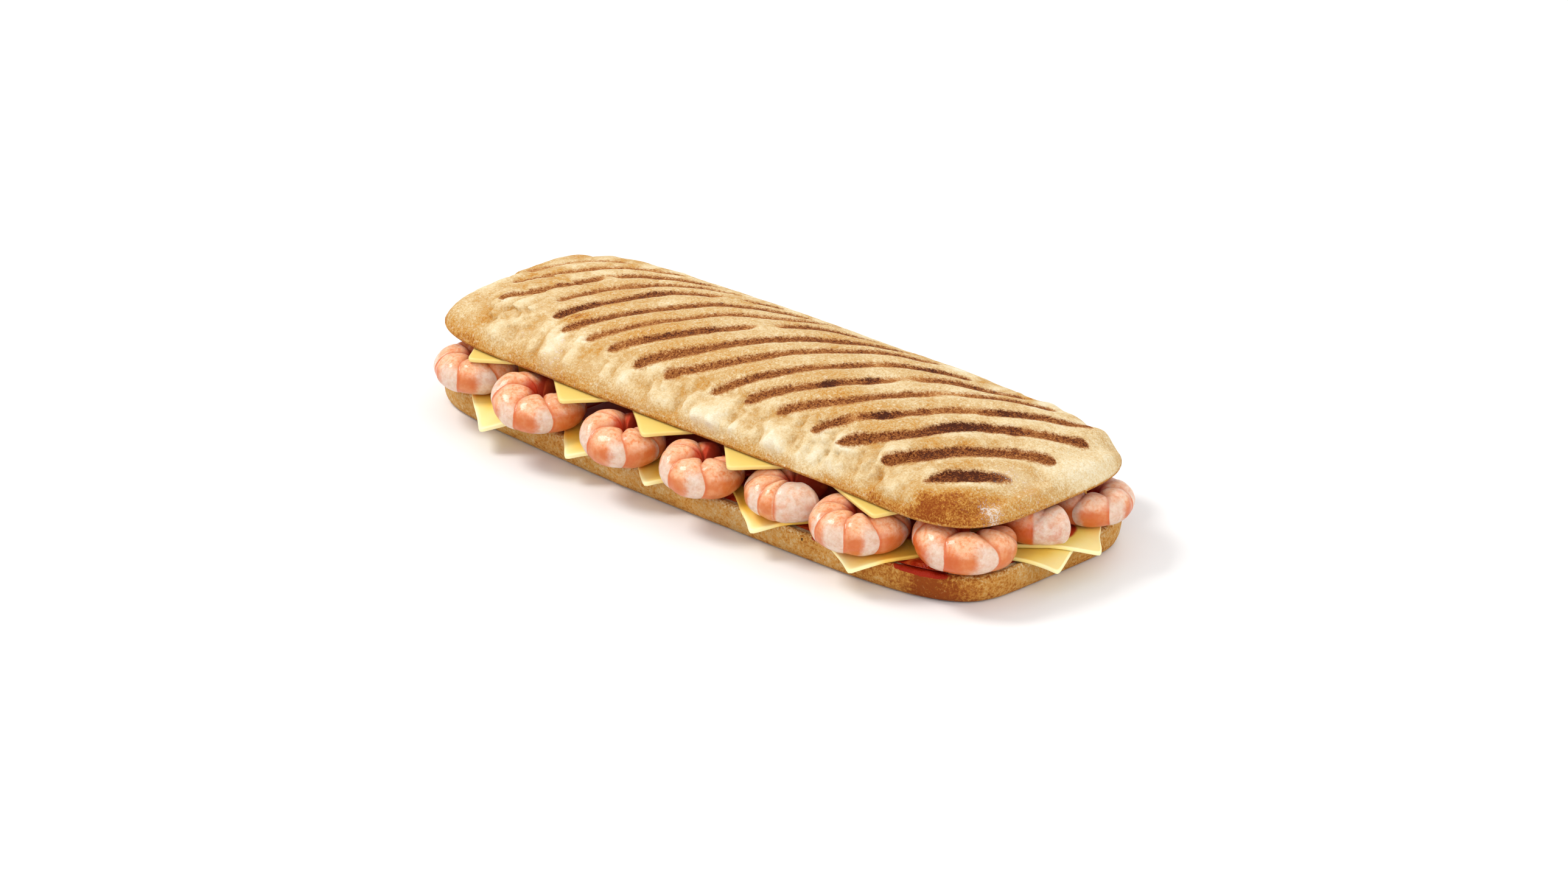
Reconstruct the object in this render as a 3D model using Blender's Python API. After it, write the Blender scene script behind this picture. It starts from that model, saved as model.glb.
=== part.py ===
"""A pressed prawn panini: two halves of a long grilled roll, tomato sauce, cheese slices and curled prawns.

Lengths are in millimetres until a mesh is written. X runs along the roll, the shown long side faces -Y and
Z is up. The origin is the middle of the flat underside.
"""

import math

import bmesh
import bpy

MM = 0.001
GAP = 0.3

# The roll: its half widths and crown heights at stations along X, from the left end to the right
STATION_STEP = 50.0
TOP_HALF_LENGTH = 125.0
TOP_CORNER_POWER = 4.1
TOP_FRONT_WIDTHS = (49.5, 43.4, 41.8, 41.0, 41.7, 50.5)
TOP_BACK_WIDTHS = (45.5, 43.0, 43.0, 43.7, 46.4, 53.0)
CROWN_HEIGHTS = (46.9, 43.2, 44.5, 45.6, 46.3, 47.6)
BASE_HALF_LENGTH = 122.6
BASE_CORNER_POWER = 5.3
BASE_FRONT_WIDTHS = (47.4, 45.6, 46.9, 46.2, 45.3, 44.0)
BASE_BACK_WIDTHS = (45.5, 43.0, 43.0, 43.7, 46.4, 50.0)
BASE_RIM_Z = 9.7
DISH_Z = 9.0

# The lower half's rings, a level of its gauge and a height each: underside, round side, rim, shallow dish
BASE_RINGS = (
    (0.920, 0.0),
    (0.968, 1.0),
    (0.993, 3.4),
    (1.000, 6.6),
    (0.992, 9.0),
    (0.980, BASE_RIM_Z),
    (0.955, BASE_RIM_Z - 0.1),
    (0.935, DISH_Z),
)
BASE_SIDES = 60

# The upper half's cut face rises a little towards the right end, and its crust is a flat arch
CUT_FACE_Z = 25.7
CUT_FACE_SLOPE = 0.0056
ARCH_BASE = -0.5
EDGE_HEIGHT = 1.4
EDGE_INSET = 0.978
ARCH_POWER = 1.79
ARCH_ROOT = 0.42
ARCH_LEAN = -0.037
DENT = (69.0, 31.0)
DENT_RADIUS = 10.0
DENT_DEPTH = 2.0
FLAT_SHARE_POWER = 4
CROWN_POINTS = 15

# The grill plate's ridges, which cross the roll at an angle and press shallow grooves in the crust
GRILL_ANGLE = math.radians(51.3)
GRILL_PITCH = 11.78
GRILL_FIRST = -94.1
GRILL_COUNT = 17
GROOVE_FLOOR_HALF = 1.2
GROOVE_EDGE_HALF = 2.6
GROOVE_DEPTH = 0.9
GROOVE_END = (0.80, 0.88)
GRILLED_LEVEL = 0.93

# The soft upright folds low on the side of the crust: each wave's length, share of the size and phase
FOLD_WAVES = ((12.5, 0.55, 1.3), (20.2, 0.45, 3.1))
FOLD_SIZE = 0.018
FOLD_START = (0.84, 0.95)
FOLD_STOP = (0.97, 1.0)

# Filling
SAUCE_LEVEL = 0.917
SAUCE_WAVES = ((9, 0.005, 0.0), (14, 0.003, 1.0))
CHEESE_THICK = 1.3
LOW_CHEESE_Z = BASE_RIM_Z + GAP
OVER_CHEESE_Z = LOW_CHEESE_Z + CHEESE_THICK + GAP
LOW_CHEESE_SAG = 0.115
SAG_POWER = 1.3
SLICE_SEAM = 0.5
SLICE_BLUNT = 0.7
SLICE_ROWS = (0.0, 0.03, 0.07, 0.12, 0.2, 0.5, 0.8, 0.88, 0.93, 0.97, 1.0)

# Seams between neighbouring slices, and the corners that stick out: place and turn in degrees
LOW_SEAMS = (-101.0, -58.0, -22.0, 19.0, 65.0, 98.0)
LOW_NEAR = ((-75.5, -57.9, 7), (-38.2, -55.2, 1), (-4.2, -53.5, 8), (44.3, -54.4, 11), (86.7, -53.9, 18))
LOW_FAR = ((-84.0, 53.5, 6), (-36.0, 55.5, -5), (2.0, 53.0, 4), (38.0, 54.5, -8), (79.0, 56.0, 9))
HIGH_SEAMS = (-112.0, -68.0, -26.0, 12.0, 60.0, 94.0)
HIGH_NEAR = ((-91.1, -47.3, -9), (-44.9, -50.6, 8), (-7.2, -51.0, 9), (30.9, -50.4, 4), (89.0, -45.9, 26))
HIGH_FAR = ((-88.0, 49.5, 5), (-51.0, 50.5, -8), (-9.0, 49.0, 6), (33.0, 51.5, -4), (78.0, 51.5, 10))

# The slices at the ends: the corner, the straight end inside the roll, and the sides
RIGHT_SLICE = ((-8.0, -132.5, -20), -98.5, (-30.0, 34.0))
OVER_SLICE = ((9.2, -133.9, 0), -101.0, (-10.0, 38.0))
LEFT_SLICE = ((-6.0, -127.0, 10), -101.5, (-36.0, 32.0))

# Prawns: the middle of the curl, its radius, half the body's width, the head's angle, the turn to the tail,
# and in the front row how far one side of the curl lies higher than the rest
PRAWNS_FRONT = (
    ((-97.2, -38.2), 8.3, 5.9, 125, 300, 0.0),
    ((-60.5, -44.9), 9.2, 6.6, 122, 305, 3.0),
    ((-20.6, -46.0), 7.9, 6.2, 118, 305, 2.2),
    ((14.4, -45.2), 7.9, 6.1, 120, 305, 2.0),
    ((46.7, -37.8), 8.6, 6.8, 343, -262, 0.0),
    ((78.2, -39.4), 9.7, 6.6, 122, 305, 0.0),
    ((111.0, -26.2), 10.4, 6.6, 142, 270, 1.5),
)
PRAWNS_BACK = (
    ((-97.0, 37.0), 8.6, 6.0, 290, 290),
    ((-60.5, 43.0), 8.9, 6.1, 242, -298),
    ((-23.0, 44.0), 8.4, 6.2, 300, 296),
    ((14.5, 44.5), 9.0, 6.1, 298, 300),
    ((51.0, 45.5), 8.3, 6.3, 236, -292),
    ((86.5, 44.5), 8.9, 6.2, 305, 290),
)
OPEN_PRAWN = ((114.2, 5.6), 12.5, 6.2, 333, -167)
LAST_PRAWN = ((117.5, 22.6), 8.2, 5.1, 205, 285)
LEFT_PRAWN = ((-111.5, 0.5), 8.7, 6.0, 30, 292)
PRAWN_FLOOR_Z = LOW_CHEESE_Z + CHEESE_THICK + GAP
PRAWN_LID = CHEESE_THICK + GAP
PRAWN_SEGMENTS = 6
PRAWN_SIDES = 9

# How wide the body is at places along a segment, and how it rounds off past the head and past the tail
PRAWN_RIDGES = ((0.0, 0.91), (0.2, 1.0), (0.78, 1.05))
PRAWN_HEAD = ((-1.6, 0.55), (-0.7, 0.86))
PRAWN_TAIL = ((0.0, 0.9), (1.2, 0.62))
PRAWN_HEAD_WIDTH = 0.93
PRAWN_THIN_FROM = 0.78
PRAWN_TAIL_WIDTH = 0.68
PRAWN_RISE_ANGLE = 200
PRAWN_RISE_REACH = 75


def smooth(low, high, value):
    """0 below the low edge, 1 above the high one, and an even curve between."""
    t = min(max((value - low) / (high - low), 0.0), 1.0)
    return t * t * (3.0 - 2.0 * t)


def along(stations, x):
    """A smooth curve through values that stand STATION_STEP apart along the roll."""
    last = len(stations) - 1
    place = min(max(x / STATION_STEP + last / 2, 0.0), last - 1e-6)
    i = int(place)
    t = place - i
    a, b, c, d = (stations[min(max(i + k, 0), last)] for k in (-1, 0, 1, 2))
    return b + 0.5 * t * (c - a + t * (2 * a - 5 * b + 4 * c - d + t * (3 * (b - c) + d - a)))


def top_gauge(x, y):
    """1 on the upper half's outline, less inside it and more outside."""
    half_width = along(TOP_BACK_WIDTHS if y > 0 else TOP_FRONT_WIDTHS, x)
    power = TOP_CORNER_POWER
    return ((abs(x) / TOP_HALF_LENGTH) ** power + (abs(y) / half_width) ** power) ** (1 / power)


def base_gauge(x, y):
    """The same for the lower half."""
    half_width = along(BASE_BACK_WIDTHS if y > 0 else BASE_FRONT_WIDTHS, x)
    power = BASE_CORNER_POWER
    return ((abs(x) / BASE_HALF_LENGTH) ** power + (abs(y) / half_width) ** power) ** (1 / power)


def beyond_base(x, y):
    """How far a point lies outside the lower half, or 0."""
    step = 0.5
    here = base_gauge(x, y)
    slope = math.hypot(base_gauge(x + step, y) - here, base_gauge(x, y + step) - here) / step
    return max((here - 1.0) / max(slope, 1e-6), 0.0)


def base_point(angle, level):
    """The point at this angle from the middle where the lower half's gauge reaches the level."""
    c, s = math.cos(angle), math.sin(angle)
    reach = BASE_HALF_LENGTH
    for _ in range(12):
        reach *= level / base_gauge(reach * c, reach * s)
    return reach * c, reach * s


def even_angles(count):
    """Angles whose points stand evenly along the lower half's outline."""
    fine = 720
    angles = [2 * math.pi * k / fine for k in range(fine + 1)]
    points = [base_point(a, 1.0) for a in angles]
    run = [0.0]
    for p, q in zip(points, points[1:]):
        run.append(run[-1] + math.dist(p, q))
    found, k = [], 0
    for n in range(count):
        target = run[-1] * n / count
        while run[k + 1] < target:
            k += 1
        share = (target - run[k]) / (run[k + 1] - run[k])
        found.append(angles[k] + share * (angles[k + 1] - angles[k]))
    return found


def make_material(name, colour, roughness):
    material = bpy.data.materials.new(name)
    material.use_nodes = True
    shader = material.node_tree.nodes["Principled BSDF"]
    shader.inputs["Base Color"].default_value = (*colour, 1.0)
    shader.inputs["Roughness"].default_value = roughness
    shader.inputs["Metallic"].default_value = 0.0
    return material


def make_body(name, loops, material, smooth_angle=35.0):
    """A closed body lofted through loops of equal length, with a flat face at each end."""
    count = len(loops[0])
    body = bmesh.new()
    rows = [[body.verts.new([MM * c for c in point]) for point in loop] for loop in loops]
    for low, high in zip(rows, rows[1:]):
        for k in range(count):
            body.faces.new((low[k], low[(k + 1) % count], high[(k + 1) % count], high[k]))
    body.faces.new(rows[0])
    body.faces.new(rows[-1])
    bmesh.ops.recalc_face_normals(body, faces=body.faces)
    bmesh.ops.triangulate(body, faces=body.faces)
    mesh = bpy.data.meshes.new(name)
    body.to_mesh(mesh)
    body.free()
    mesh.shade_smooth()
    mesh.set_sharp_from_angle(angle=math.radians(smooth_angle))
    mesh.materials.append(material)
    made = bpy.data.objects.new(name, mesh)
    bpy.context.scene.collection.objects.link(made)
    return made


def cut_face_z(x):
    return CUT_FACE_Z + CUT_FACE_SLOPE * x


def fold(x, y):
    """The uneven row of soft folds along a side of the crust, from -1 to 1."""
    side = 1.0 if y > 0 else -1.0
    total = 0.0
    for length, share, phase in FOLD_WAVES:
        total += share * math.sin(2 * math.pi * x / length + phase * side)
    return total


def grill_place(across, run):
    """The plan point at a distance across the grill's ridges and a distance along them."""
    c, s = math.cos(GRILL_ANGLE), math.sin(GRILL_ANGLE)
    return s * across + c * run, s * run - c * across


def groove(x, y):
    """Depth of the groove that the grill pressed at this point."""
    across = math.sin(GRILL_ANGLE) * x - math.cos(GRILL_ANGLE) * y
    place = (across - GRILL_FIRST) / GRILL_PITCH
    nearest = min(max(round(place), 0), GRILL_COUNT - 1)
    away = abs(place - nearest) * GRILL_PITCH
    pressed = 1.0 - smooth(*GROOVE_END, top_gauge(x, y))
    return GROOVE_DEPTH * pressed * (1.0 - smooth(GROOVE_FLOOR_HALF, GROOVE_EDGE_HALF, away))


def crust_z(x, y):
    """Height of the upper crust over the plan."""
    level = min(top_gauge(x, y), 1.0)
    band = smooth(*FOLD_START, level) * (1.0 - smooth(*FOLD_STOP, level))
    level = min(level + FOLD_SIZE * band * fold(x, y), 1.0)
    flat_share = 1.0 - level**FLAT_SHARE_POWER
    base = cut_face_z(x) + ARCH_BASE
    arch = (1.0 - level**ARCH_POWER) ** ARCH_ROOT
    lean = 1.0 + ARCH_LEAN * (y / along(TOP_BACK_WIDTHS, x)) * flat_share
    dent = DENT_DEPTH * math.exp(-((math.dist((x, y), DENT) / DENT_RADIUS) ** 2)) * flat_share
    arched = base + (along(CROWN_HEIGHTS, x) - base) * arch * lean - groove(x, y) - dent
    return max(arched, cut_face_z(x) + EDGE_HEIGHT)


def chord(across, level):
    """Both ends of the line along the ridges where the upper half's gauge is under the level, or None."""
    reach = int(TOP_HALF_LENGTH)
    middle = min(range(-reach, reach + 1), key=lambda run: top_gauge(*grill_place(across, run)))
    if top_gauge(*grill_place(across, middle)) >= level:
        return None
    ends = []
    for direction in (-1, 1):
        inner, outer = middle, middle + direction * 2 * reach
        for _ in range(40):
            half = (inner + outer) / 2
            if top_gauge(*grill_place(across, half)) < level:
                inner = half
            else:
                outer = half
        ends.append(inner)
    return ends


def last_place(start, side, level):
    """The farthest place across the ridges, to one side of a start, where the gauge is under the level."""
    inner, outer = start, start + side * 3 * GRILL_PITCH
    for _ in range(30):
        half = (inner + outer) / 2
        if chord(half, level):
            inner = half
        else:
            outer = half
    return inner


def top_row(across, lift=0.0):
    """A section of the upper half along the ridges: its cut face, and its crust from front to back."""
    front_end, back_end = chord(across, 1.0)
    middle, half = (front_end + back_end) / 2, (back_end - front_end) / 2
    face_runs = chord(across, EDGE_INSET) or (middle - 0.6 * half, middle + 0.6 * half)
    front_face, back_face = (grill_place(across, run) for run in face_runs)
    row = [(*front_face, cut_face_z(front_face[0]) + lift)]
    for j in range(CROWN_POINTS + 1):
        x, y = grill_place(across, middle - half * math.cos(math.pi * j / CROWN_POINTS))
        row.append((x, y, crust_z(x, y)))
    row.append((*back_face, cut_face_z(back_face[0]) + lift))
    return row


def make_top(material):
    """The upper half, lofted in rows along the grill's ridges, so that each groove has its own rows."""
    places = []
    for k in range(-1, GRILL_COUNT + 1):
        centre = GRILL_FIRST + k * GRILL_PITCH
        for offset in (-GROOVE_EDGE_HALF, -GROOVE_FLOOR_HALF, GROOVE_FLOOR_HALF, GROOVE_EDGE_HALF):
            places.append(centre + offset)
        places.append(centre + GRILL_PITCH / 2)
    places = [across for across in places if chord(across, GRILLED_LEVEL)]
    rows = {across: top_row(across) for across in places}
    for side, start in ((-1, places[0]), (1, places[-1])):
        face_end = last_place(start, side, EDGE_INSET)
        crust_end = last_place(start, side, 1.0)
        for share in (0.4, 0.75, 0.97):
            across = start + (face_end - start) * share
            rows[across] = top_row(across)
        for share in (0.4, 0.75, 0.95):
            across = face_end + (crust_end - face_end) * share
            lift = EDGE_HEIGHT * (1.0 - math.sqrt(1.0 - share**2))
            rows[across] = top_row(across, lift)
    return make_body("bread_top", [rows[across] for across in sorted(rows)], material)


def make_base(material):
    """The lower half: flat below, a round side, and a shallow dish in the cut face."""
    angles = even_angles(BASE_SIDES)
    loops = [[(*base_point(angle, level), z) for angle in angles] for level, z in BASE_RINGS]
    return make_body("bread_base", loops, material)


def make_sauce(material):
    """Tomato sauce in the dish of the lower half, with an uneven edge."""
    loops = [[], []]
    for angle in even_angles(BASE_SIDES):
        wave = sum(size * math.sin(count * angle + phase) for count, size, phase in SAUCE_WAVES)
        x, y = base_point(angle, SAUCE_LEVEL + wave)
        for loop, z in zip(loops, (DISH_Z + GAP, BASE_RIM_Z)):
            loop.append((x, y, z))
    return make_body("tomato_sauce", loops, material)


def edge_run(direction):
    """How far an edge in this direction goes sideways for each unit that it goes back from its corner."""
    return math.cos(math.radians(direction)) / abs(math.sin(math.radians(direction)))


def make_slice(name, material, surface, near, far, seams, rotated=False):
    """A cheese slice that runs from its near corner to its far corner or straight end.

    near and far are (sideways, depth, turn of the corner in degrees), or far is a depth where the slice
    ends square. seams are the sideways places of the neighbours. surface gives the underside's height.
    A rotated slice points to +X instead of -Y.
    """
    has_far = isinstance(far, tuple)
    end = far[1] if has_far else far
    corners = [(near[0], near[1], 135 + near[2], 45 + near[2])]
    if has_far:
        corners.append((far[0], far[1], 225 + far[2], 315 + far[2]))
    depths = [near[1] + (end - near[1]) * share for share in SLICE_ROWS]
    low_seam, high_seam = seams
    for sideways, depth, low_edge, high_edge in corners:
        toward = 1 if depth == near[1] else -1
        for seam, edge in ((low_seam, low_edge), (high_seam, high_edge)):
            met = depth + toward * (seam - sideways) / edge_run(edge)
            if near[1] < met < end:
                depths.append(met)
    loops = []
    for q in sorted(depths):
        low, high = low_seam + SLICE_SEAM / 2, high_seam - SLICE_SEAM / 2
        for sideways, depth, low_edge, high_edge in corners:
            back = abs(q - depth) + 1e-3
            low = max(low, sideways - SLICE_BLUNT + back * edge_run(low_edge))
            high = min(high, sideways + SLICE_BLUNT + back * edge_run(high_edge))
        row = []
        for share in (0.0, 0.5, 1.0):
            p = low + (high - low) * share
            x, y = (-q, p) if rotated else (p, q)
            row.append((x, y, surface(x, y)))
        loops.append([(x, y, z + CHEESE_THICK) for x, y, z in row] + row[::-1])
    return make_body(name, loops, material)


def sag(x, y):
    """How far a slice droops where it reaches past the lower half."""
    return LOW_CHEESE_SAG * beyond_base(x, y) ** SAG_POWER


def low_surface(x, y):
    return LOW_CHEESE_Z - sag(x, y)


def turned_surface(x, y):
    """The low surface for a slice that is turned half round after it is made."""
    return low_surface(-x, -y)


def over_surface(x, y):
    return OVER_CHEESE_Z - sag(x, y)


def high_surface(x, y):
    return cut_face_z(x) - GAP - CHEESE_THICK


def make_cheese(material):
    """Two layers of slices whose corners stick out, and at the right end one slice over another."""
    layers = (
        ("cheese_low", low_surface, LOW_SEAMS, LOW_NEAR, LOW_FAR),
        ("cheese_high", high_surface, HIGH_SEAMS, HIGH_NEAR, HIGH_FAR),
    )
    for name, surface, seams, near_corners, far_corners in layers:
        for i, (near, far) in enumerate(zip(near_corners, far_corners)):
            make_slice(f"{name}_{i + 1}", material, surface, near, far, seams[i : i + 2])
    make_slice("cheese_low_right", material, low_surface, *RIGHT_SLICE, rotated=True)
    make_slice("cheese_over_right", material, over_surface, *OVER_SLICE, rotated=True)
    left = make_slice("cheese_low_left", material, turned_surface, *LEFT_SLICE, rotated=True)
    for vertex in left.data.vertices:
        vertex.co.x, vertex.co.y = -vertex.co.x, -vertex.co.y


def make_prawn(name, material, place, curl, thick, head, span, rise=0.0, floor=PRAWN_FLOOR_Z, lid=PRAWN_LID):
    """A peeled prawn lying curled on its side, as thick as the room over the floor and under the lid allows.

    Its middle line is an arc of the curl radius round the place, from the head end at an angle in degrees
    through the span, counter-clockwise where the span is positive. Each segment swells towards the tail and
    ends in a crease, and the last ones grow thinner. Its side at the rise angle leans up on its neighbours.
    """
    stations = [(0.0, past, swell) for past, swell in PRAWN_HEAD]
    for segment in range(PRAWN_SEGMENTS):
        for share, swell in PRAWN_RIDGES:
            t = (segment + share) / PRAWN_SEGMENTS
            stations.append((t, 0.0, 1.0 if t == 0 else swell))
    stations += [(1.0, past, swell) for past, swell in PRAWN_TAIL]
    ceiling = cut_face_z(place[0]) - GAP - lid
    widest = PRAWN_RIDGES[-1][1]
    high = min(thick, (ceiling - floor) / 2 / widest)
    middle_z = floor + high * widest
    way = math.copysign(1.0, span)
    loops = []
    for t, past, swell in stations:
        grown = PRAWN_HEAD_WIDTH + (1.0 - PRAWN_HEAD_WIDTH) * smooth(0.0, 0.2, t)
        body = grown * (1.0 - (1.0 - PRAWN_TAIL_WIDTH) * smooth(PRAWN_THIN_FROM, 1.0, t)) * swell
        angle = math.radians(head + span * t) + way * past / curl
        near = 1.0 - abs(math.degrees(angle) - PRAWN_RISE_ANGLE) / PRAWN_RISE_REACH
        lifted_z = middle_z + rise * smooth(0.0, 1.0, near)
        out = (math.cos(angle), math.sin(angle))
        ring = []
        for k in range(PRAWN_SIDES):
            turn = 2 * math.pi * (k + 0.5) / PRAWN_SIDES
            reach = curl + thick * body * math.cos(turn)
            x, y = place[0] + reach * out[0], place[1] + reach * out[1]
            ring.append((x, y, lifted_z + high * body * math.sin(turn)))
        loops.append(ring)
    return make_body(name, loops, material, 50.0)


def make_prawns(material):
    """A row along each side and a few at the ends, backs outward."""
    for i, prawn_values in enumerate(PRAWNS_FRONT):
        make_prawn(f"prawn_front_{i + 1}", material, *prawn_values)
    for i, prawn_values in enumerate(PRAWNS_BACK):
        make_prawn(f"prawn_back_{i + 1}", material, *prawn_values)
    on_slice = OVER_CHEESE_Z + CHEESE_THICK + GAP
    make_prawn("prawn_right_1", material, *OPEN_PRAWN, floor=on_slice, lid=0.0)
    make_prawn("prawn_right_2", material, *LAST_PRAWN, floor=on_slice)
    make_prawn("prawn_left", material, *LEFT_PRAWN)


for old in list(bpy.data.objects):
    bpy.data.objects.remove(old)

crust = make_material("crust", (0.72, 0.47, 0.22), 0.75)
sauce = make_material("tomato_sauce", (0.42, 0.03, 0.01), 0.25)
cheese = make_material("cheese", (0.90, 0.66, 0.20), 0.4)
prawn = make_material("prawn", (0.85, 0.42, 0.25), 0.3)

make_base(crust)
make_sauce(sauce)
make_cheese(cheese)
make_prawns(prawn)
make_top(crust)
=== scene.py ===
"""A pressed prawn panini: the looks of every piece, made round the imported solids.

Lengths are in millimetres until a mesh is written. X runs along the roll, the shown long side faces -Y and
Z is up. The sections follow the panini as it is put together, from the lower half up.
"""

import math

import bpy
import numpy as np
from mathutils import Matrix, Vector


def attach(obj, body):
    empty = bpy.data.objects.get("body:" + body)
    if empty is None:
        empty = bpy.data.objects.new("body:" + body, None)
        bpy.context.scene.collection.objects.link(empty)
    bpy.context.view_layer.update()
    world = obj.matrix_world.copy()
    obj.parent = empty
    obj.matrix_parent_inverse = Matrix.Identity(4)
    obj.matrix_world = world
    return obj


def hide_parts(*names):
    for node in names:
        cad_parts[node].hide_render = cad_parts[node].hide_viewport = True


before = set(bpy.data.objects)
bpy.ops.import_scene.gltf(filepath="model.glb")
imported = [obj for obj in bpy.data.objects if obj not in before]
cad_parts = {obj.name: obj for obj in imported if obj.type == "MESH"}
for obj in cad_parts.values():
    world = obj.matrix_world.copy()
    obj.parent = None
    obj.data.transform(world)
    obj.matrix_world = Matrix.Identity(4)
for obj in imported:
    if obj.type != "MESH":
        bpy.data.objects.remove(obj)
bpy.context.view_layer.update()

# The lower half of the roll
# Flat pressed bread, crumb inside and a thin tan crust outside. Its cut face is spread with sauce inside a
# rim that toasted on the grill, and the whole panini stands on its underside.

# A millimetre in metres, the air between pieces that touch, and how far apart stations are along the roll
MM = 0.001
GAP = 0.3
STATION_STEP = 50.0

# Half the length of the middle line from which the outline is reached
SPINE = 82.0

# A share of the outline times this is a length in millimetres, near enough
HALF_WIDTH = 45.0

# Half the length, the power that squares the ends, and the half widths of the shown and the back side
BASE_OUTLINE = (
    122.6,
    5.3,
    (47.4, 45.6, 46.9, 46.2, 45.3, 44.0),
    (45.5, 43.0, 43.0, 43.7, 46.4, 50.0),
)
BASE_RIM_Z = 9.7
DISH_Z = 9.0

# From the underside out, up and in over the cut face: share of the outline and height
BASE_PROFILE = (
    (0.05, 0.0),
    (0.50, 0.0),
    (0.85, 0.0),
    (0.925, 0.05),
    (0.955, 0.45),
    (0.975, 1.3),
    (0.993, 3.4),
    (1.000, 6.3),
    (0.995, 8.6),
    (0.982, 9.55),
    (0.965, BASE_RIM_Z),
    (0.950, 9.5),
    (0.935, DISH_Z),
    (0.60, DISH_Z),
    (0.05, DISH_Z),
)

# Where the crust baked darker: place, both reaches and change
BASE_PATCHES = (
    (112.0, -44.0, 30.0, 26.0, 0.16),
    (-112.0, 42.0, 26.0, 22.0, 0.096),
)

# The scorched corner, and a dark speck on the side a millimetre in radius
SCORCH = (110.0, -42.0, 9.5, 9.5)
SPECK = (58.0, -45.3, 7.6)

# Where sauce ran over the rim: place and reach
RIM_STAINS = (
    (100.0, -40.5, 8.0),
    (107.5, -38.0, 5.5),
    (66.0, -43.5, 6.0),
    (112.0, 31.0, 7.0),
    (-104.0, 35.0, 6.0),
    (20.0, 42.5, 5.0),
)


def smooth(low, high, value):
    """0 below the low edge, 1 above the high one, and an even curve between."""
    t = np.clip((value - low) / (high - low), 0.0, 1.0)
    return t * t * (3.0 - 2.0 * t)


def hump(x, y, a, b, wide, long):
    """1 at a place, less round it, and next to nothing beyond twice the two reaches."""
    return np.exp(-(((x - a) / wide) ** 2) - ((y - b) / long) ** 2)


def drift(x, y, z, size, seed):
    """Uneven values from -1 to 1 that change softly over the size, the same each run."""
    place = np.stack(np.broadcast_arrays(x, y, z), -1) / size + 17.3 * seed
    cell = np.floor(place).astype(np.int64)
    t = place - cell
    t = t * t * (3.0 - 2.0 * t)
    total = np.zeros(place.shape[:-1])
    for corner in range(8):
        step = np.array([(corner >> axis) & 1 for axis in range(3)])
        # A corner's value comes from its own whole numbers, well mixed
        a, b, c = np.moveaxis(cell + step, -1, 0)
        mixed = ((a * 73856093) ^ (b * 19349663) ^ (c * 83492791)) & 0xFFFFFFFF
        mixed = ((mixed ^ (mixed >> 15)) * 1274126177 >> 7) & 0xFFFFFF
        share = np.where(step, t, 1.0 - t).prod(-1)
        total += share * (mixed / 0x7FFFFF - 1.0)
    return total


def curve(values, place):
    """A smooth curve through evenly spaced values, at a place counted in steps from the first."""
    values = np.asarray(values, float)
    last = len(values) - 1
    place = np.clip(place, 0.0, last - 1e-6)
    i = place.astype(int)
    t = place - i
    a, b, c, d = (values[np.clip(i + k, 0, last)] for k in (-1, 0, 1, 2))
    return b + 0.5 * t * (c - a + t * (2 * a - 5 * b + 4 * c - d + t * (3 * (b - c) + d - a)))


def along(stations, x):
    """A smooth curve through values that stand STATION_STEP apart along the roll."""
    return curve(stations, np.asarray(x, float) / STATION_STEP + (len(stations) - 1) / 2)


def gauge(x, y, half_length, power, front, back):
    """1 on a half's outline, less inside it and more outside."""
    half_width = np.where(y > 0, along(back, x), along(front, x))
    return ((np.abs(x) / half_length) ** power + (np.abs(y) / half_width) ** power) ** (1 / power)


def rays(side_count, end_count, outline):
    """Once round the roll, counter-clockwise from its right end: feet on the spine, ways out and reaches."""
    run = SPINE * ((np.arange(side_count) + 0.5) / side_count * 2 - 1)
    turn = np.pi * ((np.arange(end_count) + 0.5) / end_count - 0.5)
    foot = np.concatenate([np.full(end_count, SPINE), run[::-1], np.full(end_count, -SPINE), run])
    back, front = np.full(side_count, np.pi / 2), np.full(side_count, -np.pi / 2)
    turn = np.concatenate([turn, back, turn + np.pi, front])
    way_x, way_y = np.cos(turn), np.sin(turn)
    # How far each ray runs before it meets the outline is found by halving
    farthest, halvings = 80.0, 40
    inner, outer = np.zeros_like(foot), np.full_like(foot, farthest)
    for _ in range(halvings):
        half = (inner + outer) / 2
        inside = gauge(foot + half * way_x, half * way_y, *outline) < 1
        inner, outer = np.where(inside, half, inner), np.where(inside, outer, half)
    return foot, way_x, way_y, inner


def profile(points, count):
    """Pairs of share and height along a smooth line through the points, closer together where those are."""
    points = np.array(points, float)
    to_mm = (HALF_WIDTH, 1.0)
    fine = np.linspace(0, len(points) - 1, 2000)
    line = np.stack([curve(column, fine) for column in points.T], -1)
    steps = np.hypot(*np.diff(line * to_mm, axis=0).T)
    spans = np.hypot(*np.diff(points * to_mm, axis=0).T)
    span = np.interp(fine[1:], np.arange(len(spans)) + 0.5, spans)
    run = np.concatenate([[0], (steps / (0.4 + 0.6 * np.sqrt(span))).cumsum()])
    at = np.interp(np.linspace(0, run[-1], count), run, fine)
    return np.stack([np.interp(at, fine, column) for column in line.T], -1)


def put_in(name, data):
    """A new object in the scene, from its mesh, light or camera."""
    made = bpy.data.objects.new(name, data)
    bpy.context.scene.collection.objects.link(made)
    return made


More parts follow.
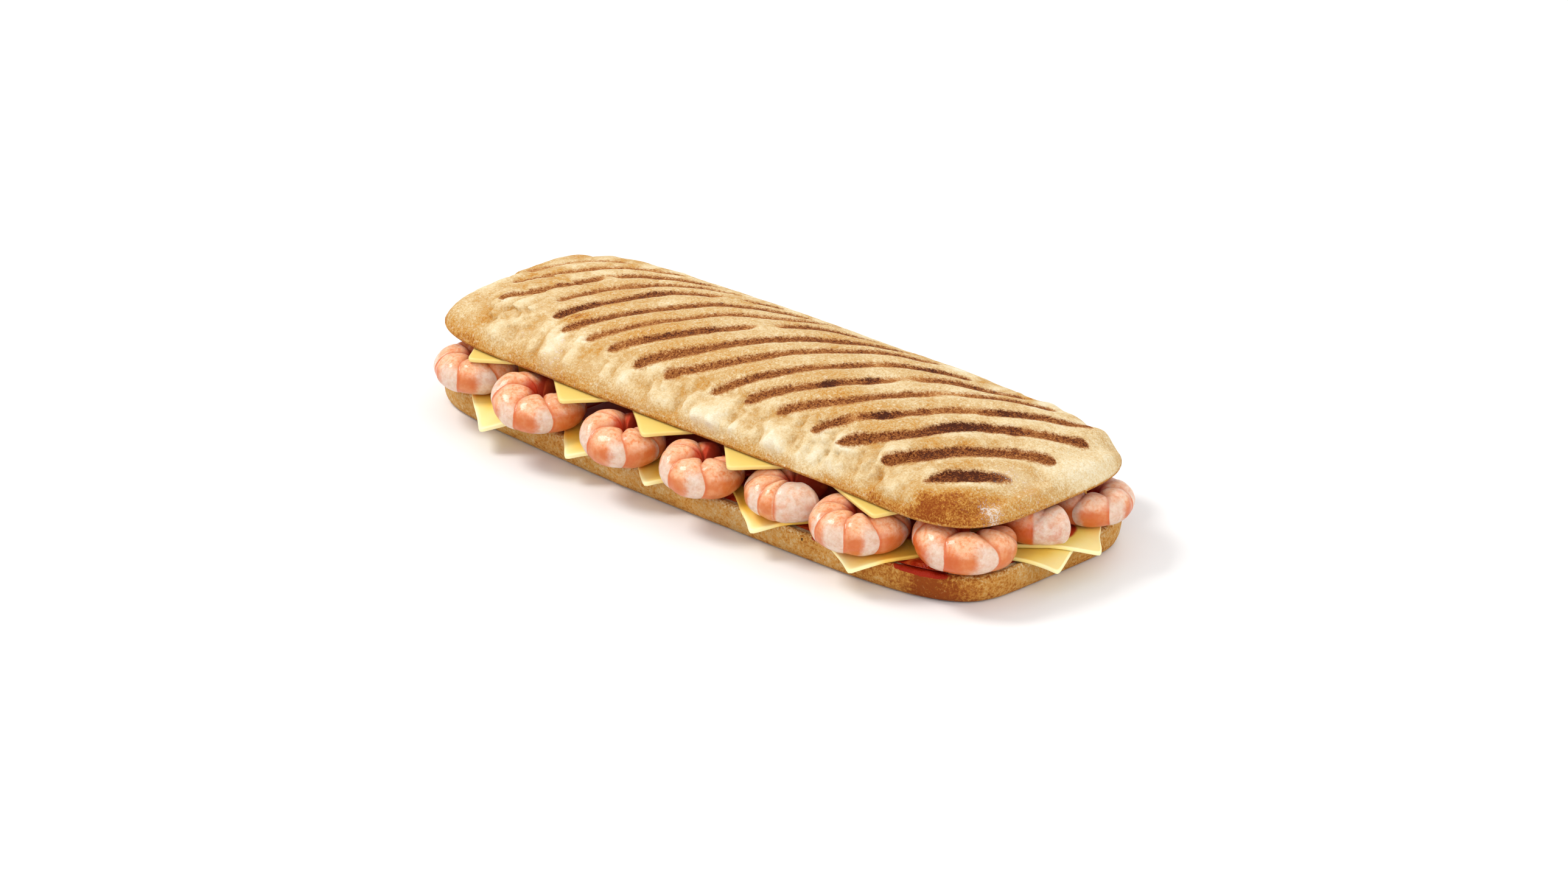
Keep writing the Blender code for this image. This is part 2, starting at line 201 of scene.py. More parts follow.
def skin(name, rings, material, fold=-1, **fields):
    """A closed piece through rings of points, counter-clockwise from above and from the lowest ring up.

    A strip that joins points k and fold - k closes each end ring. The fields are values at the points.
    """
    count, size = rings.shape[:2]
    index = np.arange(count * size).reshape(count, size)
    onward = np.roll(index, -1, 1)
    sides = np.stack([index[:-1], onward[:-1], onward[1:], index[1:]], -1).reshape(-1, 4)
    k = np.arange(size // 2 - 1) + (fold + 1) // 2
    strip = np.stack([k, k + 1, fold - k - 1, fold - k], -1) % size
    faces = np.concatenate([sides, index[-1][strip], index[0][strip[:, ::-1]]])
    mesh = bpy.data.meshes.new(name)
    mesh.from_pydata((rings.reshape(-1, 3) * MM).tolist(), [], faces.tolist())
    mesh.shade_smooth()
    mesh.materials.append(material)
    for field, values in fields.items():
        values = np.broadcast_to(values, (count, size)).astype(np.float32)
        mesh.attributes.new(field, "FLOAT", "POINT").data.foreach_set("value", values.ravel())
    return put_in(name, mesh)


def place_on(made, node):
    """The piece rides with the whole panini and stands for its solid."""
    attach(made, "root")
    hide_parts(node)


class Wire:
    """The output of a node in a material. Arithmetic on wires adds Math nodes."""

    def __init__(self, tree, socket=None):
        self.tree = tree
        self.socket = socket

    def feed(self, node, sockets):
        """Set each named or numbered input of a node to a value, or link it to a wire."""
        for name, value in sockets.items():
            if isinstance(value, Wire):
                self.tree.links.new(value.socket, node.inputs[name])
            else:
                node.inputs[name].default_value = value

    def add(self, kind, settings, sockets, output=0):
        """A new node: its settings are set first, a ramp's stops among them, and then its inputs."""
        node = self.tree.nodes.new(kind)
        for name, value in settings.items():
            if name != "stops":
                setattr(node, name, value)
                continue
            first, *middle, last = value
            for element, (position, colour) in zip(node.color_ramp.elements, (first, last)):
                element.position = position
                element.color = (*colour, 1.0)
            for position, colour in middle:
                node.color_ramp.elements.new(position).color = (*colour, 1.0)
        self.feed(node, sockets)
        return Wire(self.tree, node.outputs[output])

    def math(self, operation, *values):
        return self.add("ShaderNodeMath", {"operation": operation}, dict(enumerate(values)))

    def __add__(self, other):
        return self.math("ADD", self, other)

    __radd__ = __add__

    def __sub__(self, other):
        return self.math("SUBTRACT", self, other)

    def __rsub__(self, other):
        return self.math("SUBTRACT", other, self)

    def __mul__(self, other):
        return self.math("MULTIPLY", self, other)

    __rmul__ = __mul__

    def step(self, low, high):
        """0 where this wire is below the low edge, 1 above the high one, and an even curve between."""
        settings = {"interpolation_type": "SMOOTHSTEP"}
        return self.add("ShaderNodeMapRange", settings, {0: self, 1: low, 2: high})

    def ramp(self, *stops):
        return self.add("ShaderNodeValToRGB", {"stops": stops}, {0: self})

    def over(self, below, colour):
        """The colour where this wire is 1, and what is below where it is 0."""
        sockets = {0: self, 6: below, 7: colour if isinstance(colour, Wire) else (*colour, 1.0)}
        return self.add("ShaderNodeMix", {"data_type": "RGBA"}, sockets, 2)

    def field(self, name):
        return self.add("ShaderNodeAttribute", {"attribute_name": name}, {}, "Fac")

    def grain(self, size, detail=3.0, roughness=0.6, seed=0.0, stretch=1.0, lean=0.0):
        """Noise from 0 to 1 in grains of this many millimetres, stretched on a line leaning from Z to X."""
        where = self.add("ShaderNodeTexCoord", {}, {}, "Object")
        sockets = {"Location": (seed, seed, seed), "Rotation": (0.0, lean, 0.0), "Scale": (1.0, 1.0, stretch)}
        where = self.add("ShaderNodeMapping", {"vector_type": "TEXTURE"}, sockets | {"Vector": where})
        sockets = {"Vector": where, "Scale": 1 / (size * MM), "Detail": detail, "Roughness": roughness}
        return self.add("ShaderNodeTexNoise", {}, sockets)

    def bump(self, height, depth, normal=None):
        """Relief from a height from 0 to 1, over a depth in millimetres."""
        sockets = {"Height": height, "Distance": depth * MM, "Strength": 1.0}
        if normal:
            sockets["Normal"] = normal
        return self.add("ShaderNodeBump", {}, sockets)


def start_finish(name):
    """A new material, its shader and a first wire."""
    material = bpy.data.materials.new(name)
    material.use_nodes = True
    return material, material.node_tree.nodes["Principled BSDF"], Wire(material.node_tree)


# The crust's colours from floury to burnt, and how baked each one is
FLOUR = (0.82, 0.75, 0.57)
PALE = (0.72, 0.56, 0.32)
TAN = (0.555, 0.335, 0.125)
GOLDEN = (0.55, 0.27, 0.058)
AMBER = (0.42, 0.16, 0.027)
BROWN = (0.25, 0.055, 0.008)
CRUST_STOPS = ((0.0, FLOUR), (0.3, PALE), (0.55, TAN), (0.68, GOLDEN), (0.8, AMBER), (1.0, BROWN))


def crust_of_base():
    """Tan crust with a fine dry grain, and a rough toasted rim, stained where sauce ran over it."""
    material, shader, wire = start_finish("base_crust")
    fine = wire.grain(0.8, 4.0, 0.7) - 0.5
    patch = wire.grain(6.0, 3.0, 0.6, seed=0.3) - 0.5
    dust = wire.grain(1.7, 4.0, 0.7, seed=0.8) - 0.5
    rim = wire.field("rim")
    shade = wire.field("bake") + fine * (0.9 + rim * 1.1) + patch * 0.4 + dust * 0.65
    colour = shade.ramp(*CRUST_STOPS)
    crumb = wire.grain(1.3, 3.0, 0.7, seed=0.4).step(0.60, 0.70) * (0.25 + rim * 0.5)
    colour = crumb.over(colour, (0.72, 0.46, 0.18))
    speck = wire.field("speck").step(0.3, 0.6)
    colour = speck.over(colour, (0.04, 0.02, 0.01))
    stain = (wire.field("stain") + dust * 0.9).step(0.45, 0.62)
    colour = stain.over(colour, (0.34, 0.018, 0.004))
    pits = wire.grain(0.55, 3.0, 0.65, seed=0.9)
    normal = wire.bump(pits, 0.3, wire.bump(wire.grain(1.9, 4.0, 0.65, seed=0.5), 0.6))
    wire.feed(shader, {"Base Color": colour, "Normal": normal, "Roughness": 0.85 - stain * 0.55})
    wire.feed(shader, {"Specular IOR Level": 0.1})
    return material


def make_base():
    """The lower half, uneven along its side and rough along its rim."""
    side_count, end_count, ring_count = 250, 110, 72
    foot, way_x, way_y, reach = rays(side_count, end_count, BASE_OUTLINE)
    line = profile(BASE_PROFILE, ring_count)
    share = line[:, :1]
    x, y = foot + reach * share * way_x, reach * share * way_y
    z = line[:, 1:] + np.zeros_like(x)
    on_side = smooth(0.0, 2.0, z) * smooth(0.9, 0.95, share)
    push = on_side * (0.35 * drift(x, y, z, 9.0, 1) + 0.18 * drift(x, y, z, 3.0, 2))
    rim = smooth(7.6, 9.3, z) * smooth(0.93, 0.945, share)
    rough = rim * (0.22 * drift(x, y, 0.0, 1.5, 3) + 0.12 * drift(x, y, 0.0, 3.5, 6) - 0.12)
    x, y, z = x + push * way_x, y + push * way_y, z + rough
    bake = 0.62 + 0.07 * smooth(4.0, 0.5, z) - 0.06 * rim + 0.07 * drift(x, y, z, 12.0, 4)
    bake = bake + sum(change * hump(x, y, *patch) for *patch, change in BASE_PATCHES)
    bake = bake + hump(x, y, *SCORCH) * (0.34 - 0.16 * rim) + 0.02 * smooth(90.0, 122.0, x)
    # Pale crumb on the cut face, and an even tan below
    flat = np.where(z > BASE_RIM_Z / 2, 0.3, 0.66 + 0.08 * drift(x, y, z, 10.0, 5))
    bake = np.where(share < 0.93, flat, bake)
    rings = np.stack([x, y, z], -1)
    speck = 1.0 - np.linalg.norm(rings - SPECK, axis=-1)
    stain = sum(hump(x, y, a, b, wide, wide) for a, b, wide in RIM_STAINS) * smooth(7.6, 9.0, z)
    fields = {"bake": bake, "rim": rim, "speck": speck, "stain": stain}
    return skin("lower_half", rings, crust_of_base(), end_count - 1, **fields)


place_on(make_base(), "bread_base")

# Tomato sauce
# Thick cooked tomato, spooned on the cut face and pressed flat by what lies on it. It is wet, has lumps of
# pulp, and stands higher where no slice presses on it: between the slices' corners and at the right end.

# The share of the outline that it covers, and how its edge strays: waves once round, their size and start
SAUCE_SHARE = 0.917
SAUCE_WAVES = ((9, 0.005, 0.0), (14, 0.003, 1.0))

# Where it stands higher: place, reach and height
SAUCE_SWELLS = (
    (103.5, -37.0, 7.0, 1.5),
    (68.0, -40.0, 6.0, 1.0),
    (-22.0, -41.0, 4.0, 0.7),
    (18.0, -41.0, 5.0, 0.8),
    (-58.0, -40.0, 4.0, 0.7),
    (-106.0, -34.0, 7.0, 0.7),
    (112.0, 33.0, 8.0, 1.0),
    (-104.0, 36.0, 7.0, 0.9),
    (60.0, 40.0, 5.0, 0.8),
    (18.0, 40.0, 5.0, 0.8),
    (-17.0, 40.0, 5.0, 0.8),
)


def wet_sauce():
    """Deep red, glossy, and lighter where there is pulp."""
    material, shader, wire = start_finish("tomato_sauce")
    pulp = wire.grain(2.4, 3.0, 0.6)
    colour = pulp.ramp((0.3, (0.30, 0.010, 0.002)), (0.52, (0.46, 0.03, 0.005)), (0.7, (0.60, 0.11, 0.02)))
    normal = wire.bump(pulp, 0.6, wire.bump(wire.grain(0.8, 2.0, 0.5, seed=0.4), 0.15))
    wire.feed(shader, {"Base Color": colour, "Normal": normal, "Roughness": 0.22})
    wire.feed(shader, {"Specular IOR Level": 0.2, "Coat Weight": 0.3, "Coat Roughness": 0.08})
    return material


def make_sauce():
    """A shallow pool: a flat underside, one ring round its edge, and a lumpy top."""
    side_count, end_count, under_count, over_count = 170, 70, 12, 40
    foot, way_x, way_y, reach = rays(side_count, end_count, BASE_OUTLINE)
    under, over = np.linspace(0.05, 1.0, under_count), np.linspace(1.0, 0.05, over_count)
    shares = np.concatenate([under, [1.006], over])[:, None]
    upper = (np.arange(len(shares)) > under_count)[:, None]
    turn = np.arctan2(reach * way_y, foot + reach * way_x)
    wave = sum(size * np.sin(count * turn + phase) for count, size, phase in SAUCE_WAVES)
    share = shares * (SAUCE_SHARE + wave)
    x, y = foot + reach * share * way_x, reach * share * way_y
    low = DISH_Z + GAP
    swell = sum(height * hump(x, y, a, b, wide, wide) for a, b, wide, height in SAUCE_SWELLS)
    edge = smooth(0.0, 0.05, 1.0 - shares)
    lumps = 0.1 * drift(x, y, 0.0, 3.5, 6) + 0.05 * drift(x, y, 0.0, 1.6, 7)
    top = low + 0.15 + (BASE_RIM_Z - low - 0.2 + lumps + swell * (1 + 2 * lumps)) * edge
    z = np.where(upper, top, low)
    z[under_count] = low + 0.08
    return skin("tomato_spread", np.stack([x, y, z], -1), wet_sauce(), end_count - 1)


place_on(make_sauce(), "tomato_sauce")

# Cheese slices
# Square slices cut from a mild yellow block, laid corner out in a row under the prawns and a row over them.
# The lower ones droop over the rim of the bread, warm and soft, with slightly rounded corners.

CHEESE_THICK = 1.3
LOW_CHEESE_Z = BASE_RIM_Z + GAP
OVER_CHEESE_Z = LOW_CHEESE_Z + CHEESE_THICK + GAP

# How far a slice sags a millimetre beyond the rim, and the power by which that grows
LOW_CHEESE_SAG = 0.115
SAG_POWER = 1.3

# The cut face of the upper half, under which the upper slices lie, rises slightly to the right
CUT_FACE_Z = 25.7
CUT_FACE_SLOPE = 0.0056

# The air at a seam, half the width of a blunt tip, and how far the rounding of a corner reaches
SLICE_SEAM = 0.5
SLICE_BLUNT = 0.7
CORNER_REACH = 2.2

# The rounded edge of a slice from its underside up: how far in, and how high
SLICE_EDGE = ((0.42, 0), (0.12, 0.08), (0, 0.3), (0, 0.65), (0, 1.0), (0.1, 1.2), (0.36, CHEESE_THICK))

# The seams between the slices of a row, and the corners of each: a place, and the degrees that it is turned
LOW_SEAMS = (-101.0, -58.0, -22.0, 19.0, 65.0, 98.0)
LOW_NEAR = ((-75.5, -57.9, 7), (-38.2, -55.2, 1), (-4.2, -53.5, 8), (44.3, -54.4, 11), (86.7, -53.9, 18))
LOW_FAR = ((-84.0, 53.5, 6), (-36.0, 55.5, -5), (2.0, 53.0, 4), (38.0, 54.5, -8), (79.0, 56.0, 9))
HIGH_SEAMS = (-112.0, -68.0, -26.0, 12.0, 60.0, 94.0)
HIGH_NEAR = ((-91.1, -47.3, -9), (-44.9, -50.6, 8), (-7.2, -51.0, 9), (30.9, -50.4, 4), (89.0, -45.9, 26))
HIGH_FAR = ((-88.0, 49.5, 5), (-51.0, 50.5, -8), (-9.0, 49.0, 6), (33.0, 51.5, -4), (78.0, 51.5, 10))

# The slices at the ends, before their quarter turns: the corner, the straight far end and both seams
RIGHT_SLICE = ((-8.0, -132.5, -20), -98.5, (-30.0, 34.0))
OVER_SLICE = ((9.2, -133.9, 0), -101.0, (-10.0, 38.0))
LEFT_SLICE = ((-6.0, -127.0, 10), -101.5, (-36.0, 32.0))

# The joints of a prawn: how far along the body each lies, and how much of the ring that ends there is white
EVEN = ((0.03, 0.0), (0.19, 0.4), (0.36, 0.5), (0.53, 0.55), (0.69, 0.45), (0.86, 0.3))
FRONT_1 = ((0.01, 0.0), (0.19, 0.2), (0.37, 0.3), (0.55, 0.68), (0.73, 0.58), (0.91, 0.2))
FRONT_2 = ((0.03, 0.0), (0.20, 0.2), (0.37, 0.5), (0.53, 0.58), (0.69, 0.48), (0.86, 0.1))
FRONT_3 = ((0.08, 0.0), (0.27, 0.45), (0.46, 0.65), (0.66, 0.45), (0.82, 0.2))
FRONT_4 = ((0.11, 0.0), (0.29, 0.2), (0.47, 0.65), (0.65, 0.55), (0.83, 0.0))
FRONT_5 = ((0.20, 0.1), (0.28, 0.5), (0.46, 0.4), (0.63, 0.4), (0.81, 0.3))
FRONT_6 = ((0.14, 0.0), (0.29, 0.2), (0.43, 0.25), (0.57, 0.75), (0.70, 0.55), (0.84, 0.3))
FRONT_7 = ((0.135, 0.0), (0.34, 0.2), (0.55, 0.46), (0.77, 0.5), (0.93, 0.25))
RIGHT_1 = ((0.20, 0.0), (0.43, 0.0), (0.65, 0.2), (0.88, 0.2))
RIGHT_2 = ((0.10, 0.3), (0.28, 0.3), (0.46, 0.6), (0.64, 0.3), (0.82, 0.3))

# Each prawn: its place, the radius of its curl, half its thickness, the angles of its head and of its whole
# curl, how far its left side leans up, and its joints
PRAWNS = {
    "front_1": ((-97.2, -38.2), 8.3, 5.9, 125, 300, 0.0, FRONT_1),
    "front_2": ((-60.5, -44.9), 9.2, 6.6, 122, 305, 3.0, FRONT_2),
    "front_3": ((-20.6, -46.0), 7.9, 6.2, 118, 305, 2.2, FRONT_3),
    "front_4": ((14.4, -45.2), 7.9, 6.1, 120, 305, 2.0, FRONT_4),
    "front_5": ((46.7, -37.8), 8.6, 6.8, 343, -262, 0.0, FRONT_5),
    "front_6": ((78.2, -39.4), 9.7, 6.6, 122, 305, 0.0, FRONT_6),
    "front_7": ((111.0, -26.2), 10.4, 6.6, 142, 270, 1.5, FRONT_7),
    "back_1": ((-97.0, 37.0), 8.6, 6.0, 290, 290, 0.0, EVEN),
    "back_2": ((-60.5, 43.0), 8.9, 6.1, 242, -298, 0.0, EVEN),
    "back_3": ((-23.0, 44.0), 8.4, 6.2, 300, 296, 0.0, EVEN),
    "back_4": ((14.5, 44.5), 9.0, 6.1, 298, 300, 0.0, EVEN),
    "back_5": ((51.0, 45.5), 8.3, 6.3, 236, -292, 0.0, EVEN),
    "back_6": ((86.5, 44.5), 8.9, 6.2, 305, 290, 0.0, EVEN),
    "right_1": ((114.2, 5.6), 12.5, 6.2, 333, -167, 0.0, RIGHT_1),
    "right_2": ((117.5, 22.6), 8.2, 5.1, 205, 285, 0.0, RIGHT_2),
    "left": ((-111.5, 0.5), 8.7, 6.0, 30, 292, 0.0, EVEN),
}


def beyond_base(x, y):
    """How far a point lies outside the lower half, or 0."""
    step = 0.5
    here = gauge(x, y, *BASE_OUTLINE)
    east = gauge(x + step, y, *BASE_OUTLINE) - here
    north = gauge(x, y + step, *BASE_OUTLINE) - here
    slope = np.hypot(east, north) / step
    return np.maximum((here - 1.0) / np.maximum(slope, 1e-6), 0.0)


def droop(x, y):
    """How far a lower slice hangs down past the rim, with a soft wave in what hangs."""
    beyond = beyond_base(x, y)
    wave = 0.35 * smooth(1.0, 6.0, beyond) * drift(x, y, 0.0, 11.0, 8)
    return LOW_CHEESE_SAG * beyond**SAG_POWER + wave


def low_surface(x, y):
    return LOW_CHEESE_Z - droop(x, y)


def over_surface(x, y):
    return OVER_CHEESE_Z - droop(x, y)


def cut_face(x):
    return CUT_FACE_Z + CUT_FACE_SLOPE * x


def high_surface(x, y):
    return cut_face(x) - GAP - CHEESE_THICK


def cut_away(corners, start, degrees, keep_left):
    """What is left of a convex outline on one side of a line from the start in this direction."""
    way = np.array([math.cos(math.radians(degrees)), math.sin(math.radians(degrees))])
    sign = 1.0 if keep_left else -1.0
    kept = []
    for p, q in zip(corners, corners[1:] + corners[:1]):
        a, b = (sign * (way[0] * (r[1] - start[1]) - way[1] * (r[0] - start[0])) for r in (p, q))
        if a >= 0:
            kept.append(p)
        if (a >= 0) != (b >= 0):
            kept.append(p + (q - p) * a / (a - b))
    return kept


def soft_outline(corners, reach, count):
    """Evenly spaced points along an outline whose corners are rounded over the reach."""
    points = []
    for before, here, after in zip(corners[-1:] + corners[:-1], corners, corners[1:] + corners[:1]):
        back, on = before - here, after - here
        a, b = (v * min(reach / np.linalg.norm(v), 0.45) for v in (back, on))
        for t in np.linspace(0, 1, 9):
            points.append(here + (1 - t) ** 2 * a + t**2 * b)
    points = np.array(points + points[:1])
    run = np.concatenate([[0], np.hypot(*np.diff(points, axis=0).T).cumsum()])
    at = np.linspace(0, run[-1], count, endpoint=False)
    return np.stack([np.interp(at, run, column) for column in points.T], -1)


def slice_corners(near, far, seams):
    """The outline of a slice that points to -Y, its tips blunted. far is a corner too, or a straight end."""
    has_far = isinstance(far, tuple)
    end = far[1] if has_far else far
    low, high = seams[0] + SLICE_SEAM / 2, seams[1] - SLICE_SEAM / 2
    corners = [np.array(p, float) for p in ((low, near[1]), (high, near[1]), (high, end), (low, end))]
    corners = cut_away(corners, (near[0] - SLICE_BLUNT, near[1]), 135 + near[2], False)
    corners = cut_away(corners, (near[0] + SLICE_BLUNT, near[1]), 45 + near[2], True)
    if has_far:
        corners = cut_away(corners, (far[0] - SLICE_BLUNT, far[1]), 225 + far[2], True)
        corners = cut_away(corners, (far[0] + SLICE_BLUNT, far[1]), 315 + far[2], False)
    return corners


def make_slice(name, material, surface, near, far, seams, quarter_turns=0):
    """A slice on its surface. One quarter turn points it to +X instead of -Y, and three turn it to -X."""
    edge = soft_outline(slice_corners(near, far, seams), CORNER_REACH, count=200)
    middle = edge.mean(0)
    out = np.roll(edge, -1, 0) - np.roll(edge, 1, 0)
    out = np.stack([out[:, 1], -out[:, 0]], -1) / np.linalg.norm(out, axis=1, keepdims=True)
    inner = [middle + (edge - middle) * share for share in np.linspace(0.06, 0.97, 9)]
    plan = np.array(inner + [edge - out * inset for inset, height in SLICE_EDGE] + inner[::-1])
    heights = [0.0] * len(inner) + [height for inset, height in SLICE_EDGE] + [CHEESE_THICK] * len(inner)
    # The rows of the cut edge, which the colour makes paler as a painted highlight
    rim = np.zeros((len(plan), 1))
    rim[len(inner) : -len(inner)] = 1.0
    x, y = np.moveaxis(plan, -1, 0)
    for _ in range(quarter_turns):
        x, y = -y, x
    # The edges that can be seen are a little uneven
    wander = 0.45 * smooth(38.0, 48.0, np.maximum(np.abs(y), np.abs(x) - 75.0))
    x, y = x + wander * drift(x, y, 0.0, 8.0, 9), y + wander * drift(x, y, 0.0, 8.0, 10)
    z = surface(x, y) + np.array(heights)[:, None]
    beyond = beyond_base(x, y)
    # Painted highlight: paler the further a slice hangs out past the rim
    tip = smooth(0.5, 7.0, beyond)
    # The upper slices get a duller copy of the cheese colour, a painted shade
    upper = 1.0 if surface == high_surface else 0.0
    # Painted shade: a deeper orange on the lower slices where they lie inside the roll under the prawns, none
    # at the right end
    warm = (1.0 - upper) * (1.0 - smooth(0.0, 3.5, beyond)) * smooth(115.0, 95.0, x)
    # Sauce reached all of a slice inside the roll, and on the lower ones also the middle of a prawn's curl
    smear = 1.0 - smooth(0.70, 0.84, gauge(x, y, *BASE_OUTLINE))
    if not upper:
        for place, curl, *rest in PRAWNS.values():
            away = np.hypot(x - place[0], y - place[1]) / curl
            smear = np.maximum(smear, 1.0 - smooth(0.4, 1.1, away))
    fields = {"rim": rim, "smear": smear, "tip": tip, "upper": upper, "warm": warm}
    return skin(name, np.stack([x, y, z], -1), material, **fields)


def let_light_in(shader, shares, depth):
    """Light goes into the outer layer: the share of each colour, and the depth in millimetres."""
    shader.inputs["Subsurface Weight"].default_value = 0.25
    shader.inputs["Subsurface Radius"].default_value = shares
    shader.inputs["Subsurface Scale"].default_value = depth * MM


def soft_cheese():
    """Yellow and red with sauce; painted highlight makes its cut edges and what hangs out paler, and painted
    shade makes the upper slices duller and the lower ones deeper orange near the prawns.
    """
    material, shader, wire = start_finish("yellow_cheese")
    cloud = wire.grain(9.0, 2.0, 0.5)
    colour = cloud.ramp((0.3, (0.90, 0.64, 0.09)), (0.7, (0.94, 0.73, 0.16)))
    # Painted highlight: paler at the cut edges and where a slice hangs out
    colour = (wire.field("tip") * 0.55 + wire.field("rim") * 0.35).over(colour, (0.96, 0.88, 0.50))
    # Painted shade: a duller copy of the colour on the upper slices
    colour = (wire.field("upper") * 0.75).over(colour, (0.72, 0.54, 0.16))
    # Painted shade: deeper orange on the lower slices near the prawns
    colour = (wire.field("warm") * 0.7).over(colour, (0.95, 0.52, 0.03))
    smear = (wire.field("smear") + (cloud - 0.5) * 0.3).step(0.4, 0.6)
    colour = smear.over(colour, (0.50, 0.038, 0.009))
    normal = wire.bump(wire.grain(0.7, 2.0, 0.5), 0.02, wire.bump(wire.grain(4.0, 2.0, 0.5, seed=0.7), 0.12))
    wire.feed(shader, {"Base Color": colour, "Normal": normal, "Roughness": 0.38})
    let_light_in(shader, (1.0, 0.6, 0.25), 1.5)
    return material


cheese = soft_cheese()
for layer, surface, seams, near_corners, far_corners in (
    ("low", low_surface, LOW_SEAMS, LOW_NEAR, LOW_FAR),
    ("high", high_surface, HIGH_SEAMS, HIGH_NEAR, HIGH_FAR),
):
    for i, (near, far) in enumerate(zip(near_corners, far_corners)):
        made = make_slice(f"slice_{layer}_{i + 1}", cheese, surface, near, far, seams[i : i + 2])
        place_on(made, f"cheese_{layer}_{i + 1}")
for label, surface, values, quarter_turns in (
    ("low_right", low_surface, RIGHT_SLICE, 1),
    ("over_right", over_surface, OVER_SLICE, 1),
    ("low_left", low_surface, LEFT_SLICE, 3),
):
    made = make_slice(f"slice_{label}", cheese, surface, *values, quarter_turns)
    place_on(made, f"cheese_{label}")

# Prawns
# Cooked peeled prawns, curled on their sides with their backs outward: a row along each side of the roll,
# two at the right end and one at the left. Each ring of the body overlaps the next one towards the tail.

PRAWN_FLOOR_Z = LOW_CHEESE_Z + CHEESE_THICK + GAP

# The prawns that lie on the upper slice at the right end, and the one that no slice covers
ON_OVER_SLICE = ("right_1", "right_2")
UNCOVERED = "right_1"

# The prawns that show a long pale ring at their head end, and those whose rings overlap the other way
BLUNT_ONES = ("front_5", "right_1")
TURNED_ONES = ("front_5", "right_2")

# The prawn whose tail shows and is pale, kept out of the painted shade, and the one that is pale on top
PALE_TAIL = "front_7"
PALE_ABOVE = "right_2"

# How deep the orange of a prawn is, from 0 to 1, where it isn't pale: partly its own tone and partly painted
# shade where the upper half shades it
USUAL_ORANGE = 0.1
ORANGE_AND_BREAD_SHADE = {
    "front_1": 0.3,
    "front_2": 0.5,
    "front_3": 0.35,
    "front_4": 0.2,
    "front_6": 0.5,
    "front_7": 1.0,
    "right_1": 1.0,
    "right_2": 0.5,
}

# The most that a body swells beyond its half thickness
WIDEST = 1.05

# The tail narrows to this share of the body's width, from this place along it
TAIL_WIDTH = 0.68
THIN_FROM = 0.80

# A leaning prawn rises round this angle of its curl, over this many degrees on each side
RISE_ANGLE = 200
RISE_REACH = 75

# How far the rounded ends reach, how much of the body the first and last rings take, and by how much of a
# ring the joints shift from the back to the flanks
ROUND_HEAD = 2.3
ROUND_TAIL = 1.9
END_RING = 0.17
BLUNT_RING = 0.4
JOINT_SKEW = 0.17


def prawn_looks(label, t, rib, whites, first_joint, outward, upward):
    """The values that colour a prawn, at places t along its body and at these turns round it."""
    ring = np.floor(rib).astype(int)
    ring = -ring - 1 if label in TURNED_ONES else ring + 1
    cream = 0.0
    if label == PALE_ABOVE:
        cream = 0.5 * smooth(0.2, 0.8, upward)
    if label in BLUNT_ONES:
        skewed = t + 0.02 * (np.maximum(outward, 0.0) ** 2 - 1.0)
        cream = 1.0 - smooth(first_joint - 0.02, first_joint, skewed)
    # Painted shade, a dark red, deep inside the curl and at the hidden ends
    red = smooth(0.0, 0.65, -outward - 0.4 * upward)
    if label != PALE_TAIL:
        red = red + smooth(0.86, 0.95, t)
    if label not in BLUNT_ONES:
        red = red + smooth(0.10, 0.02, t)
    # The painted shade fades where the pale tail shows
    fade = 0.8 * smooth(0.55, 0.65, t) if label == PALE_TAIL else 0.0
    return {
        "rib": rib,
        "outward": outward,
        "upward": upward,
        "white": whites[np.clip(ring, 0, len(whites) - 1)],
        "cream": cream,
        "red": np.minimum(red, 1.0),
        "deep": ORANGE_AND_BREAD_SHADE.get(label, USUAL_ORANGE) * (1.0 - fade),
    }


